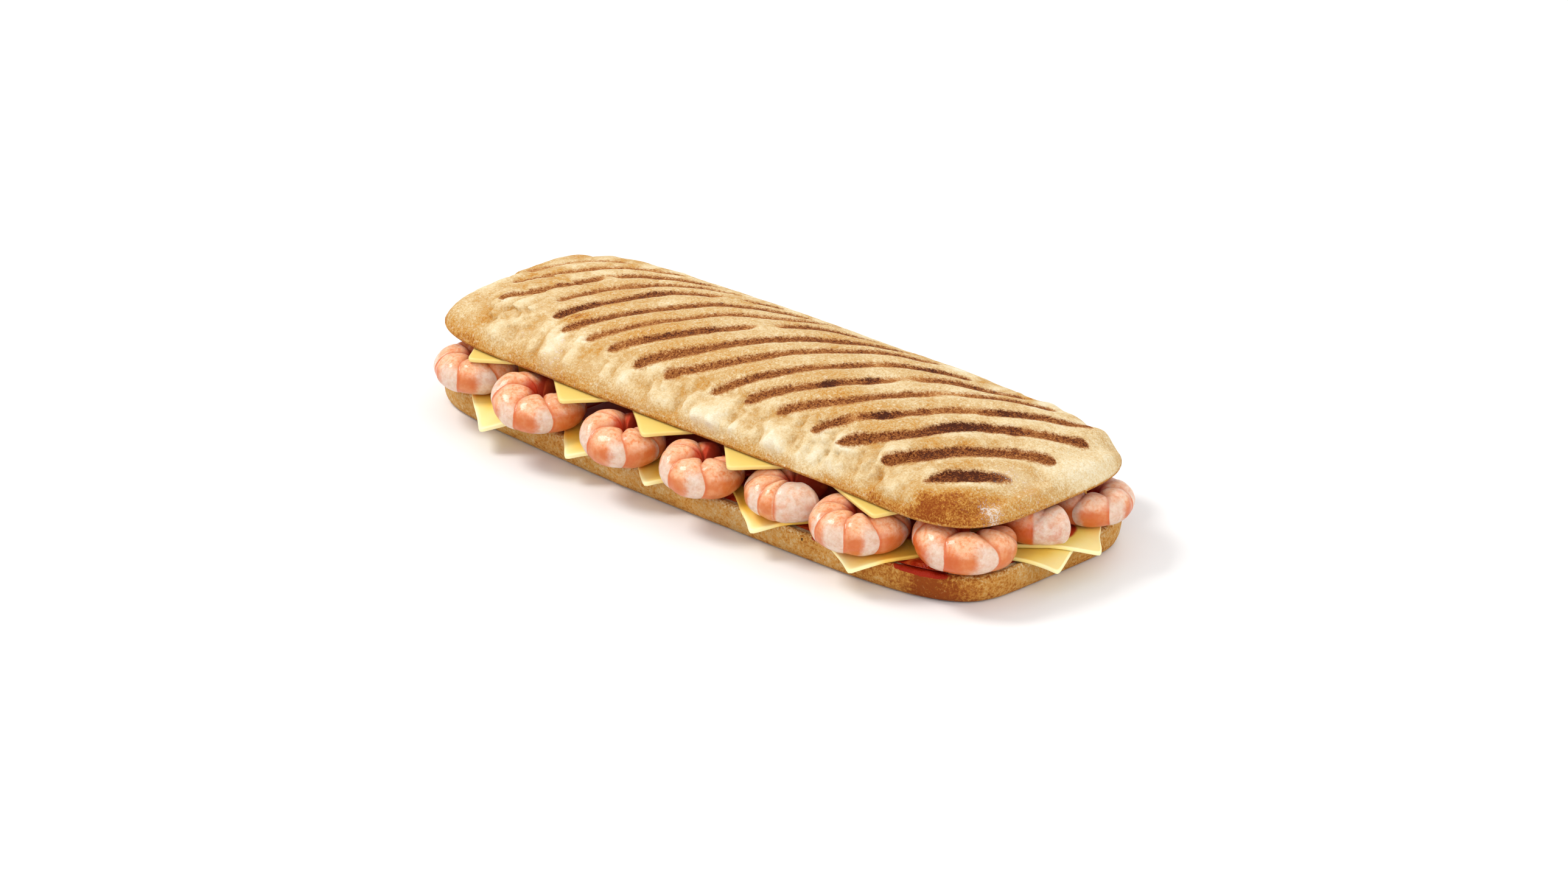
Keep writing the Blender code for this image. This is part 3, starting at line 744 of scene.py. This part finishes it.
def make_prawn(label, number, material):
    """One prawn: a body bent round an arc, whose rings swell towards the tail and step in at their ends."""
    place, curl, thick, head, span, rise, joints = PRAWNS[label]
    floor = PRAWN_FLOOR_Z
    if label in ON_OVER_SLICE:
        floor = OVER_CHEESE_Z + CHEESE_THICK + GAP
    ceiling = high_surface(place[0], 0.0) - GAP
    if label == UNCOVERED:
        ceiling += CHEESE_THICK + GAP
    high = min(thick, (ceiling - floor) / 2 / WIDEST)
    middle_z = floor + high * WIDEST
    # Places along the body, with a rounded end before the first and past the last
    cap_count, body_count, round_count = 9, 150, 64
    ends = np.sin(np.linspace(0.12, 1.0, cap_count) * np.pi / 2)
    beyond = np.sqrt(1 - ends**2)
    t = np.concatenate([np.zeros(cap_count), np.linspace(0, 1, body_count), np.ones(cap_count)])[:, None]
    past = np.concatenate([-ROUND_HEAD * beyond, np.zeros(body_count), ROUND_TAIL * beyond[::-1]])
    cap = np.concatenate([ends, np.ones(body_count), ends[::-1]])[:, None]
    turn = 2 * np.pi * (np.arange(round_count) + 0.5) / round_count
    outward, upward = np.cos(turn), np.sin(turn)
    # Which ring of the body each point lies in, and how far along that ring
    first_ring = BLUNT_RING if label in BLUNT_ONES else END_RING
    before, after = (joints[0][0] - first_ring, 0.0), (joints[-1][0] + END_RING, 0.6)
    stops, whites = np.array([before, *joints, after]).T
    rib = np.interp(t, stops, range(len(stops)))
    rib = (-rib if label in TURNED_ONES else rib) + JOINT_SKEW * (1.0 - np.maximum(outward, 0.0) ** 2)
    share = rib - np.floor(rib)
    # Each ring is domed, least on the back and most inside the curl
    body = (0.93 + 0.07 * smooth(0.0, 0.2, t)) * (1.0 - (1.0 - TAIL_WIDTH) * smooth(THIN_FROM, 1.0, t))
    dome = 1.0 - np.abs(2.0 * share - 1.0) ** 2.8
    inner = smooth(0.0, -0.9, outward)
    depth = 0.045 + 0.13 * smooth(0.1, 0.9, upward) + 0.10 * inner
    swell = 1.03 + 0.02 * smooth(0.0, 0.9, share) + 0.14 * inner
    size = body * cap * (swell - depth * (1.0 - dome))
    # Bent round the curl, and raised on the side that leans up
    way = math.copysign(1.0, span)
    angle = np.radians(head + span * t) + way * past[:, None] / curl
    reach = curl + thick * size * outward
    x, y = place[0] + reach * np.cos(angle), place[1] + reach * np.sin(angle)
    lean = smooth(0.0, 1.0, 1.0 - np.abs(np.degrees(angle) - RISE_ANGLE) / RISE_REACH)
    z = middle_z + rise * lean + high * size * upward
    # Low bumps, which don't reach the slices above and below
    bulge = 0.22 * drift(x, y, z, 4.5, 11 + number) + 0.10 * drift(x, y, z, 1.9, 40 + number)
    x, y = x + bulge * outward * np.cos(angle), y + bulge * outward * np.sin(angle)
    z = z + np.where(upward > 0, np.minimum(bulge, 0.0), np.maximum(bulge, 0.0)) * upward
    rings = np.stack([x, y, z], -1)
    fields = prawn_looks(label, t, rib, whites, stops[1], outward, upward) | {"dome": dome}
    if way > 0:
        rings = rings[:, ::-1]
        fields = {name: np.broadcast_to(values, rib.shape)[:, ::-1] for name, values in fields.items()}
    return skin(f"curled_{label}", rings, material, **fields)


def cooked_prawn():
    """Orange-pink flesh, a milky tongue on the back of each ring, and paler veined lobes on the flanks, with
    painted highlight on the lobes' domes and painted shade that deepens the orange and reddens the inside of
    the curl.
    """
    material, shader, wire = start_finish("cooked_prawn")
    rib, outward, upward, dome = (wire.field(name) for name in ("rib", "outward", "upward", "dome"))
    blot = wire.grain(3.6, 3.0, 0.6)
    vein = wire.grain(1.5, 4.0, 0.7, seed=0.2)
    stray, fine_stray = blot - 0.5, vein - 0.5
    share = wire.math("FRACT", rib + stray * 0.06)
    orange = blot.ramp((0.3, (0.58, 0.15, 0.035)), (0.5, (0.62, 0.20, 0.06)), (0.68, (0.68, 0.29, 0.12)))
    # Partly the prawn's own deeper orange, partly painted shade under the upper half
    orange = (wire.field("deep") * 0.8).over(orange, (0.52, 0.075, 0.006))
    rosy = vein.ramp((0.36, (0.72, 0.24, 0.09)), (0.46, (0.78, 0.37, 0.19)), (0.64, (0.82, 0.50, 0.32)))
    # The flanks' own paler rosy colour, strongest on the top of each ring's dome as a painted highlight
    flank = (upward + stray * 0.5).step(0.05, 0.65) * (0.35 + dome * 0.65)
    colour = flank.over(orange, rosy)
    red = wire.field("red")
    # Painted shade in dark red inside the curl and at the hidden ends
    colour = (red * 0.92).over(colour, (0.46, 0.028, 0.005))
    on_back = (outward + fine_stray * 0.3).step(0.2, 0.5) * (1 - (upward + stray * 0.4).step(0.45, 0.95))
    band = (share + wire.field("white") - 1 + fine_stray * 0.14).step(-0.05, 0.22)
    band = band * (1 - share.step(0.955, 0.985)) * on_back
    milky = vein.ramp((0.3, (0.62, 0.40, 0.28)), (0.5, (0.68, 0.51, 0.40)), (0.75, (0.75, 0.64, 0.55)))
    colour = (band * (blot * 0.5 + 0.66)).over(colour, milky)
    crease = (1 - share.step(0.0, 0.07)) + share.step(0.965, 0.995)
    colour = (crease * 0.55).over(colour, (0.60, 0.12, 0.035))
    cream = wire.field("cream") * (0.55 + (blot - 0.35).step(0.0, 0.25) * 0.4)
    colour = cream.over(colour, milky)
    normal = wire.bump(vein, 0.14, wire.bump(wire.grain(0.5, 2.0, 0.5, seed=0.6), 0.04))
    wire.feed(shader, {"Base Color": colour, "Normal": normal, "Roughness": 0.38 + red * 0.4})
    wire.feed(shader, {"Specular IOR Level": 0.1, "Coat Weight": 0.45 - red * 0.45, "Coat Roughness": 0.12})
    let_light_in(shader, (1.0, 0.35, 0.15), 1.6)
    return material


prawn = cooked_prawn()
for number, label in enumerate(PRAWNS):
    place_on(make_prawn(label, number, prawn), f"prawn_{label}")

# The upper half of the roll
# Pressed bread with a floury crust. The grill's ridges left brown grooves across its crown at an angle, and
# its sides puffed out between the plates: pale and wrinkled above, golden towards the cut face.

# As for the lower half, and the heights of the crown at the same stations
TOP_OUTLINE = (
    125.0,
    4.1,
    (49.5, 43.4, 41.8, 41.0, 41.7, 50.5),
    (45.5, 43.0, 43.0, 43.7, 46.4, 53.0),
)
CROWN_HEIGHTS = (46.9, 43.2, 44.5, 45.6, 46.3, 47.6)

# The arch of the crust from its foot below the edge up to the crown, how much lower it is at the back, and
# the power by which that and the dent fade towards the edge
ARCH_BASE = -0.5
ARCH_POWER = 1.79
ARCH_ROOT = 0.42
ARCH_LEAN = -0.037
FLAT_SHARE_POWER = 4

# The edge of the cut face: its height, where its rounding starts, and shares and heights on the way up
EDGE_HEIGHT = 1.4
EDGE_INSET = 0.978
EDGE_LIPS = ((0.988, 0.12), (0.996, 0.5), (1.0, 1.0))

# A dent behind the right end of the crown: place, both reaches and depth
DENT = (69.0, 31.0, 10.0, 10.0)
DENT_DEPTH = 2.0

# Broad folds round the wall: lengths, shares and starts of their waves, their size, and where they fade
FOLD_WAVES = ((12.5, 0.55, 1.3), (20.2, 0.45, 3.1))
FOLD_SIZE = 0.018
FOLD_START = (0.84, 0.95)
FOLD_STOP = (0.97, 1.0)

# The ridges of the grill: their angle to the roll, how far apart they are, where the first one lies, how deep
# they pressed and how deep the crust sank beside them
GRILL_ANGLE = math.radians(51.3)
GRILL_PITCH = 11.78
GRILL_FIRST = -94.1
GROOVE_DEPTH = 0.5
SHOULDER_DEPTH = 0.45

# How long the rounding of a mark's end is, and what counts as nowhere near a mark
MARK_ROUNDING = 3.0
FAR_OFF = -4.0

# The grill's marks from the left end: where each starts and ends along its length, how far it strays from a
# straight line at its start, quarters and end, its half width, and how brown it is
MARKS = (
    (-72, -38, (3.6, 1.8, 1.0, 2.2, 6.0), 1.5, 0.42),
    (-77, -20, (2.8, 0.5, -0.7, 2.0, 5.5), 1.7, 0.55),
    (-82, -10, (6.5, 2.0, -1.7, 0.0, 6.0), 2.2, 0.72),
    (-65, -4, (4.8, -1.5, -2.2, -1.0, 5.5), 1.9, 0.68),
    (-67, 8, (4.7, -1.0, -3.9, 1.0, 7.0), 2.3, 0.84),
    (-65, 16, (2.7, 1.0, -0.8, 1.5, 6.0), 2.1, 0.78),
    (-58, 26, (0.3, 0.2, -1.2, 0.8, 0.8), 1.8, 0.68),
    (-52, 36, (-2.4, 0.0, -0.4, -1.4, 3.0), 2.2, 0.80),
    (-45, 44, (-1.8, 0.3, 0.3, 0.8, 3.4), 2.5, 0.82),
    (-37, 52, (-3.8, 0.8, -0.2, -1.0, 2.0), 2.1, 0.74),
    (-23, 60, (0.3, 1.3, 0.0, -0.8, 4.0), 2.0, 0.80),
    (-14, 76, (-1.5, 1.0, -0.5, -1.2, 3.0), 2.2, 0.82),
    (-5, 84, (-2.3, 1.5, -1.8, -2.0, 1.5), 2.1, 0.80),
    (5, 96, (-0.8, 0.5, -2.2, -0.7, 0.5), 2.1, 0.82),
    (14, 91, (-1.8, 1.4, -3.5, -1.2, 1.0), 2.6, 0.88),
    (25, 79, (1.0, 2.2, 0.6, -0.4, 1.5), 2.7, 0.90),
    (36, 63.5, (3.0, 2.4, 2.6, 2.6, 2.4), 3.2, 0.90),
)

# Where a mark is darker or fainter than the rest of it, by its number: place along it, reach and change
SPOTS = {
    2: ((-46, 3, -0.5),),
    4: ((-60, 8, 0.2), (-32, 5, 0.15), (-8, 6, -0.7)),
    5: ((-45, 8, 0.1),),
    7: ((-33, 7, 0.2), (-18, 3, 0.2), (-1, 4, -0.9)),
    10: ((21, 4, 0.15), (31, 4, -0.35), (47, 3, 0.3)),
    11: ((13.5, 3, 0.6), (27, 2.5, 0.4), (38, 6, -0.6)),
    12: ((50, 8, -0.4),),
    13: ((19, 1.8, -0.35), (28, 4, 0.4), (56, 5, -0.35), (68, 6, 0.25)),
    14: ((52, 14, 0.35), (76, 5, -0.2)),
    15: ((41, 8, 0.15),),
    16: ((50, 9, 0.25),),
}

# Patches that baked darker or stayed floury, and one pale line of painted highlight along the lip below the
# last mark, from the left end: place across and along the ridges, both reaches and change
PATCHES = (
    (-65.3, -98.0, 7.0, 9.0, -0.10),
    (-65.0, -68.0, 4.0, 12.0, 0.08),
    (-56.5, -51.0, 3.0, 8.0, 0.12),
    (-44.0, -48.0, 2.6, 8.0, 0.20),
    (-40.0, -31.0, 3.0, 5.0, -0.14),
    (-38.0, -76.5, 6.0, 8.0, -0.08),
    (-38.0, -60.5, 2.6, 5.5, 0.32),
    (-17.5, -38.0, 4.0, 14.0, 0.08),
    (66.0, 4.0, 6.0, 6.0, -0.26),
    (77.0, 50.0, 4.5, 17.0, 0.16),
    (82.0, 97.0, 9.0, 12.0, -0.16),
    (85.5, 19.0, 5.0, 4.5, -0.24),
    (88.0, 84.0, 11.0, 15.0, -0.18),
    (90.0, 20.0, 12.0, 12.0, 0.10),
    (90.5, 50.0, 2.6, 16.0, 0.16),
    (97.5, 32.0, 4.0, 5.0, 0.12),
    (98.0, 84.0, 5.0, 6.0, 0.08),
    (101.0, 72.0, 4.0, 8.0, 0.12),
    # Painted highlight along the lip below the last mark
    (101.9, 50.0, 1.3, 10.0, -0.22),
    (104.0, 39.0, 5.0, 7.0, 0.14),
    (107.0, 47.0, 5.0, 16.0, 0.20),
)

# The lip below the last mark: place across and along the ridges, both reaches and height
LIP = (101.9, 50.0, 1.6, 12.0)
LIP_HEIGHT = 0.5

# The near corner, which baked dark low down: place and both reaches
DARK_CORNER = (112.0, -36.0, 22.0, 20.0)

# How far up from the cut face the wall counts
WALL_HEIGHT = 18.0

# A short dark crack at the left end, from place to place
CRACK = ((-103.6, -44.0, 31.5), (-102.0, -42.3, 27.5))

# Loose flour that stayed on the crust: place, reach and amount
FLOUR_SPOTS = (
    (120.6, -25.6, 4.2, 0.90),
    (112.0, -10.0, 6.0, 0.42),
    (121.0, -8.0, 7.0, 0.40),
    (4.0, -43.0, 7.0, 0.30),
    (-60.0, -41.0, 9.0, 0.30),
    (-62.0, -36.0, 6.0, 0.35),
    (-79.0, -35.0, 4.0, 0.45),
    (-46.0, -36.0, 6.0, 0.25),
    (-118.0, 20.0, 6.0, 0.42),
    (-40.0, 42.0, 8.0, 0.34),
    (60.0, 44.0, 8.0, 0.34),
)


def pillows(x, y, z, size, seed):
    """Rounded swellings from about -0.5 to 1 with narrow creases between them."""
    return 2.2 * np.abs(drift(x, y, z, size, seed)) - 0.5


def crust_z(x, y, level):
    """Height of the upper crust, without its grooves."""
    level = np.minimum(level, 1.0)
    band = smooth(*FOLD_START, level) * (1.0 - smooth(*FOLD_STOP, level))
    side = np.where(y > 0, 1.0, -1.0)
    fold = sum(share * np.sin(2 * np.pi * x / length + phase * side) for length, share, phase in FOLD_WAVES)
    level = np.minimum(level + FOLD_SIZE * band * fold, 1.0)
    flat_share = 1.0 - level**FLAT_SHARE_POWER
    cut = cut_face(x)
    arch = (1.0 - level**ARCH_POWER) ** ARCH_ROOT
    lean = 1.0 + ARCH_LEAN * (y / along(TOP_OUTLINE[3], x)) * flat_share
    dent = DENT_DEPTH * hump(x, y, *DENT) * flat_share
    base = cut + ARCH_BASE
    arched = base + (along(CROWN_HEIGHTS, x) - base) * arch * lean - dent
    return np.maximum(arched, cut + EDGE_HEIGHT)


def grill_marks(across, run):
    """How far each point lies inside a mark's edge, how brown the mark is, and on which side of it that is.

    The points are given across and along the ridges. The side is 1 at the edge towards the right end.
    """
    inside = np.full(run.shape, FAR_OFF)
    brown = np.zeros(run.shape)
    side = np.zeros(run.shape)
    for k, (start, end, stray, half, tone) in enumerate(MARKS):
        place = np.clip((run - start) / (end - start), 0, 1) * (len(stray) - 1)
        centre = GRILL_FIRST + GRILL_PITCH * k + curve(stray, place) + 0.35 * drift(run, 0, 0, 7.0, 60 + k)
        shade = tone + 0.10 * drift(run, 0, 0, 9.0, 80 + k)
        for spot, reach, change in SPOTS.get(k, ()):
            shade = shade + change * np.exp(-(((run - spot) / reach) ** 2))
        width = half * (0.72 + 0.36 * shade) * (1 + 0.15 * drift(run, 0, 0, 4.0, 100 + k))
        # The ends are rounded, and the last mark is an oval
        ends = np.minimum(run - start, end - run)
        rounding = (end - start) / 2 if k == len(MARKS) - 1 else MARK_ROUNDING
        closing = 1.0 - np.clip(ends / rounding, 0.0, 1.0)
        width = width * (1.0 - closing**2) ** 0.6 + np.minimum(ends, 0.0)
        here = width - np.abs(across - centre)
        off = (across - centre) / half
        # Painted shade: a mark is browner on its side away from the right end, the groove's far wall
        brown = np.where(here > inside, shade - 0.13 * off, brown)
        side = np.where(here > inside, np.clip(off, -1.0, 1.0), side)
        inside = np.maximum(inside, here)
    return inside, brown, side


def grilled_crust():
    """Dry floury crust over a fine grain, browned where the ridges pressed it."""
    material, shader, wire = start_finish("grilled_crust")
    bake, inside, brown = (wire.field(name) for name in ("bake", "inside", "brown"))
    fine = wire.grain(0.6, 3.0, 0.7) - 0.5
    patch = wire.grain(5.5, 4.0, 0.6, seed=0.3) - 0.5
    dust = wire.grain(1.5, 4.0, 0.75, seed=0.8) - 0.5
    crease = wire.grain(3.0, 4.0, 0.65, seed=0.6, stretch=3.5, lean=-0.2)
    wall = wire.field("wall")
    speckle = fine * (0.6 + bake * 0.7) + dust * 0.5
    # On the wall the colour follows the relief of the creases: painted shade in their hollows, painted
    # highlight on their ridges
    shade = bake + patch * 0.36 + speckle * (1 - wall * 0.35) - (crease - 0.5) * wall * 0.55
    ragged = inside + dust * 2.8 + fine * 2.4
    lit_rim = ragged.step(-3.0, -1.4) * (1 - ragged.step(-1.3, -0.4)) * wire.field("side").step(0.0, 0.8)
    shade = shade - lit_rim * 0.06
    colour = shade.ramp(*CRUST_STOPS)
    dusty = wire.grain(1.1, 2.0, 0.6, seed=1.3).step(0.55, 0.72) * (1 - bake.step(0.6, 0.9))
    colour = (dusty * (0.4 - wall * 0.2)).over(colour, (0.84, 0.77, 0.60))
    fringe = ragged.step(-1.5, 0.2) * brown.step(0.1, 0.7)
    colour = (fringe * 0.5).over(colour, (0.42, 0.175, 0.045))
    char = brown * 0.85 + fine * 2.1 + dust * 1.4 - (1 - inside.step(0.0, 1.6)) * 0.2
    burnt = char.ramp(
        (0.15, (0.56, 0.28, 0.095)),
        (0.45, (0.36, 0.135, 0.035)),
        (0.75, (0.22, 0.064, 0.015)),
        (0.92, (0.13, 0.030, 0.008)),
        (1.0, (0.06, 0.014, 0.005)),
    )
    mark = ragged.step(-0.5, 0.8) * (brown + dust * 0.9).step(0.05, 0.5)
    colour = mark.over(colour, burnt)
    flour = wire.field("flour") + dust * 2.0 + fine * 2.0
    colour = (flour.step(0.5, 1.0) * 0.7).over(colour, (0.82, 0.76, 0.67))
    colour = wire.field("crack").step(0.2, 0.7).over(colour, (0.27, 0.07, 0.016))
    colour = wire.field("smear").step(0.4, 0.6).over(colour, (0.58, 0.05, 0.012))
    pores = wire.grain(0.6, 3.0, 0.65, seed=0.9)
    normal = wire.bump(crease, 0.45, wire.bump(wire.grain(1.9, 4.0, 0.65, seed=0.5), 0.55))
    normal = wire.bump(pores, 0.3, normal)
    wire.feed(shader, {"Base Color": colour, "Normal": normal, "Roughness": 0.85, "Specular IOR Level": 0.08})
    return material


def arch_shares(count):
    """Shares of the outline from the edge in to the middle, at even steps up the arch."""
    fine = np.linspace(0, 1, 1500)
    rise = (CROWN_HEIGHTS[2] - CUT_FACE_Z) * (1 - fine**ARCH_POWER) ** ARCH_ROOT
    run = np.concatenate([[0], np.hypot(HALF_WIDTH * np.diff(fine), np.diff(rise)).cumsum()])
    shares = np.interp(np.linspace(0, run[-1], count), run, fine)[::-1]
    shares[-1] = 0.005
    return shares


def make_top():
    """The upper half: the cut face, its rounded edge, and the crust with its grooves and puffed sides."""
    side_count, end_count, arch_count = 236, 200, 92
    foot, way_x, way_y, reach = rays(side_count, end_count, TOP_OUTLINE)
    face = np.concatenate([[0.03, 0.3, 0.6, 0.8], np.linspace(0.88, EDGE_INSET, 5)])
    edge, lifts = np.array(EDGE_LIPS).T
    share = np.concatenate([face, edge, arch_shares(arch_count)])[:, None]
    lifts = np.concatenate([np.zeros(len(face)), lifts, np.zeros(arch_count)])[:, None]
    crust = (np.arange(len(share)) >= len(face) + len(edge))[:, None]
    x, y = foot + reach * share * way_x, reach * share * way_y
    level = gauge(x, y, *TOP_OUTLINE)
    cut = cut_face(x)
    # Places across and along the ridges, and how deep those pressed
    across = math.sin(GRILL_ANGLE) * x - math.cos(GRILL_ANGLE) * y
    run = math.cos(GRILL_ANGLE) * x + math.sin(GRILL_ANGLE) * y
    inside, brown, side = grill_marks(across, run)
    pressed = GROOVE_DEPTH * smooth(-0.5, 1.3, inside) + SHOULDER_DEPTH * smooth(-3.2, 0.0, inside)
    pressed = pressed * smooth(0.1, 0.5, brown) * (1.0 - smooth(0.86, 0.93, level))
    z = np.where(crust, crust_z(x, y, level), cut + lifts)
    right_end = smooth(84.0, 110.0, x)
    left_end = smooth(-92.0, -114.0, x)
    golden_low = smooth(10.0, -50.0, x)
    wall = smooth(0.62, 0.80, level) * (1.0 - smooth(0.95 - 0.05 * golden_low, 0.995, level)) * crust
    wall = wall * (1.0 - 0.92 * right_end - 0.8 * left_end)
    crown = (1.0 - smooth(0.8, 0.95, level)) * crust
    # Upright pillows on the wall, with creases between
    slant = x - 0.2 * (z - cut) * np.sign(y)
    puff = 0.9 * pillows(slant, 0.5 * y, 0.45 * z, 8.5, 21)
    puff = puff + 0.45 * pillows(slant, 0.6 * y, 0.6 * z, 4.2, 22)
    puff = puff + 0.2 * drift(slant, y, 0.5 * z, 2.2, 29) + 0.2 * drift(x, y, z, 1.6, 23)
    front = 2.8 * (0.85 + 0.5 * drift(x, y, 0.0, 32.0, 30))
    back = smooth(0.87, 0.94, level) * smooth(100.0, 70.0, x)
    out = np.where(y > 0, back, front) * wall * (puff - 0.35)
    z = z + crown * (0.34 * drift(x, y, 0.0, 12.0, 24) + 0.16 * drift(x, y, 0.0, 4.2, 25))
    z = z + crust * (0.07 * drift(x, y, z, 1.5, 26) + LIP_HEIGHT * hump(across, run, *LIP)) - pressed
    z = np.where(crust, np.maximum(z + 0.3 * out, cut + 0.9 * EDGE_HEIGHT), z)
    x, y = x + out * way_x, y + out * way_y
    rings = np.stack([x, y, z], -1)
    # Pale on the upper wall, most on the tops of its pillows: partly flour and partly painted highlight.
    # Darker low down, at the near corner, along the front shoulder and in patches
    height = np.clip((z - cut) / WALL_HEIGHT, 0, 1)
    left = smooth(-10.0, -105.0, x)
    bake = 0.46 + 0.06 * left + 0.12 * drift(x, y, 0.0, 17.0, 27) + 0.06 * drift(x, y, 0.0, 6.0, 28)
    flour_and_highlight = smooth(0.60, 0.78, level) * smooth(0.10 + 0.15 * golden_low, 0.40 + 0.15 * golden_low, height)
    flour_and_highlight = flour_and_highlight * (1.0 - 0.8 * right_end) * (1.0 - 0.35 * smooth(-85.0, -118.0, x))
    bake = bake - flour_and_highlight * (0.05 + 0.27 * puff)
    low = 1.0 - smooth(0.0, 0.38, height + 0.06 * puff)
    foot_of_wall = smooth(0.10, 0.0, height)
    bake = bake + (0.19 * low + 0.22 * foot_of_wall) * (1.0 - 0.5 * right_end)
    corner = 0.38 * smooth(0.75, 0.2, height) * smooth(0.8, 0.95, level) + 0.2 * foot_of_wall
    bake = bake + corner * hump(x, y, *DARK_CORNER)
    shoulder = np.exp(-(((y + 17.0) / 11.0) ** 2)) * smooth(-75.0, -50.0, x) * smooth(60.0, 35.0, x)
    bake = bake + 0.09 * shoulder
    bake = bake + sum(change * hump(across, run, *patch) for *patch, change in PATCHES)
    # The crack, as nearness to the line between its ends
    start, end = np.array(CRACK)
    way = end - start
    along_crack = np.clip((rings - start) @ way / (way @ way), 0.0, 1.0)[..., None]
    fields = {
        "bake": np.where(crust, np.clip(bake, 0.0, 1.0), 0.75),
        "inside": np.where(crust & (level < 0.93), inside, FAR_OFF),
        "brown": brown,
        "side": side,
        "wall": wall,
        "flour": sum(size * hump(x, y, a, b, wide, wide) for a, b, wide, size in FLOUR_SPOTS),
        "smear": np.where(crust | (share > 0.93), 0.0, 1.0),
        "crack": 1.0 - np.linalg.norm(rings - start - along_crack * way, axis=-1),
    }
    return skin("upper_half", rings, grilled_crust(), end_count - 1, **fields)


place_on(make_top(), "bread_top")

# The studio
# A pale floor, one large soft light from the left above, weaker ones from the front, right and back, and a
# bright even room. The camera stands where the photo was taken from, far away with a long lens.

# In metres, and the lens in millimetres
CAMERA_PLACE = (1.68578, -1.67718, 1.04029)
CAMERA_TARGET = (0.01792, -0.0132, 0.01883)
CAMERA_LENS = 186.3043


def aim(made, place, target):
    """Stand a light or the camera at a place and turn it to face the target."""
    made.location = place
    made.rotation_euler = (Vector(target) - Vector(place)).to_track_quat("-Z", "Y").to_euler()


def soft_light(name, place, size, power, colour):
    """A square light that faces the panini."""
    light = bpy.data.lights.new(name, "AREA")
    light.size = size
    light.energy = power
    light.color = colour
    aim(put_in(name, light), place, (0.0, 0.0, 0.0))


def make_floor():
    """A pale matt floor, wide enough to fill every view."""
    mesh = bpy.data.meshes.new("floor")
    far = 4.0
    mesh.from_pydata([(-far, -far, 0), (far, -far, 0), (far, far, 0), (-far, far, 0)], [], [(0, 1, 2, 3)])
    material, shader, wire = start_finish("pale_floor")
    wire.feed(shader, {"Base Color": (0.86, 0.86, 0.86, 1.0), "Roughness": 0.6})
    mesh.materials.append(material)
    floor = put_in("floor", mesh)


make_floor()
soft_light("key", (-0.95, -0.45, 1.4), 0.6, 17.0, (1.0, 0.98, 0.95))
soft_light("fill", (0.9, -1.3, 0.7), 1.2, 6.0, (1.0, 0.98, 0.96))
soft_light("side", (1.4, 0.1, 0.8), 1.0, 6.0, (1.0, 0.98, 0.96))
soft_light("back", (-0.2, 1.3, 1.1), 1.0, 4.0, (1.0, 1.0, 1.0))

world = bpy.data.worlds.new("room")
world.use_nodes = True
world.node_tree.nodes["Background"].inputs["Color"].default_value = (1.0, 1.0, 1.0, 1.0)
world.node_tree.nodes["Background"].inputs["Strength"].default_value = 0.8
bpy.context.scene.world = world
bpy.context.scene.view_settings.view_transform = "Standard"

camera = bpy.data.cameras.new("camera")
camera.lens = CAMERA_LENS
camera.sensor_width = 36.0
camera.clip_end = 20.0
stand = put_in("camera", camera)
aim(stand, CAMERA_PLACE, CAMERA_TARGET)
bpy.context.scene.camera = stand
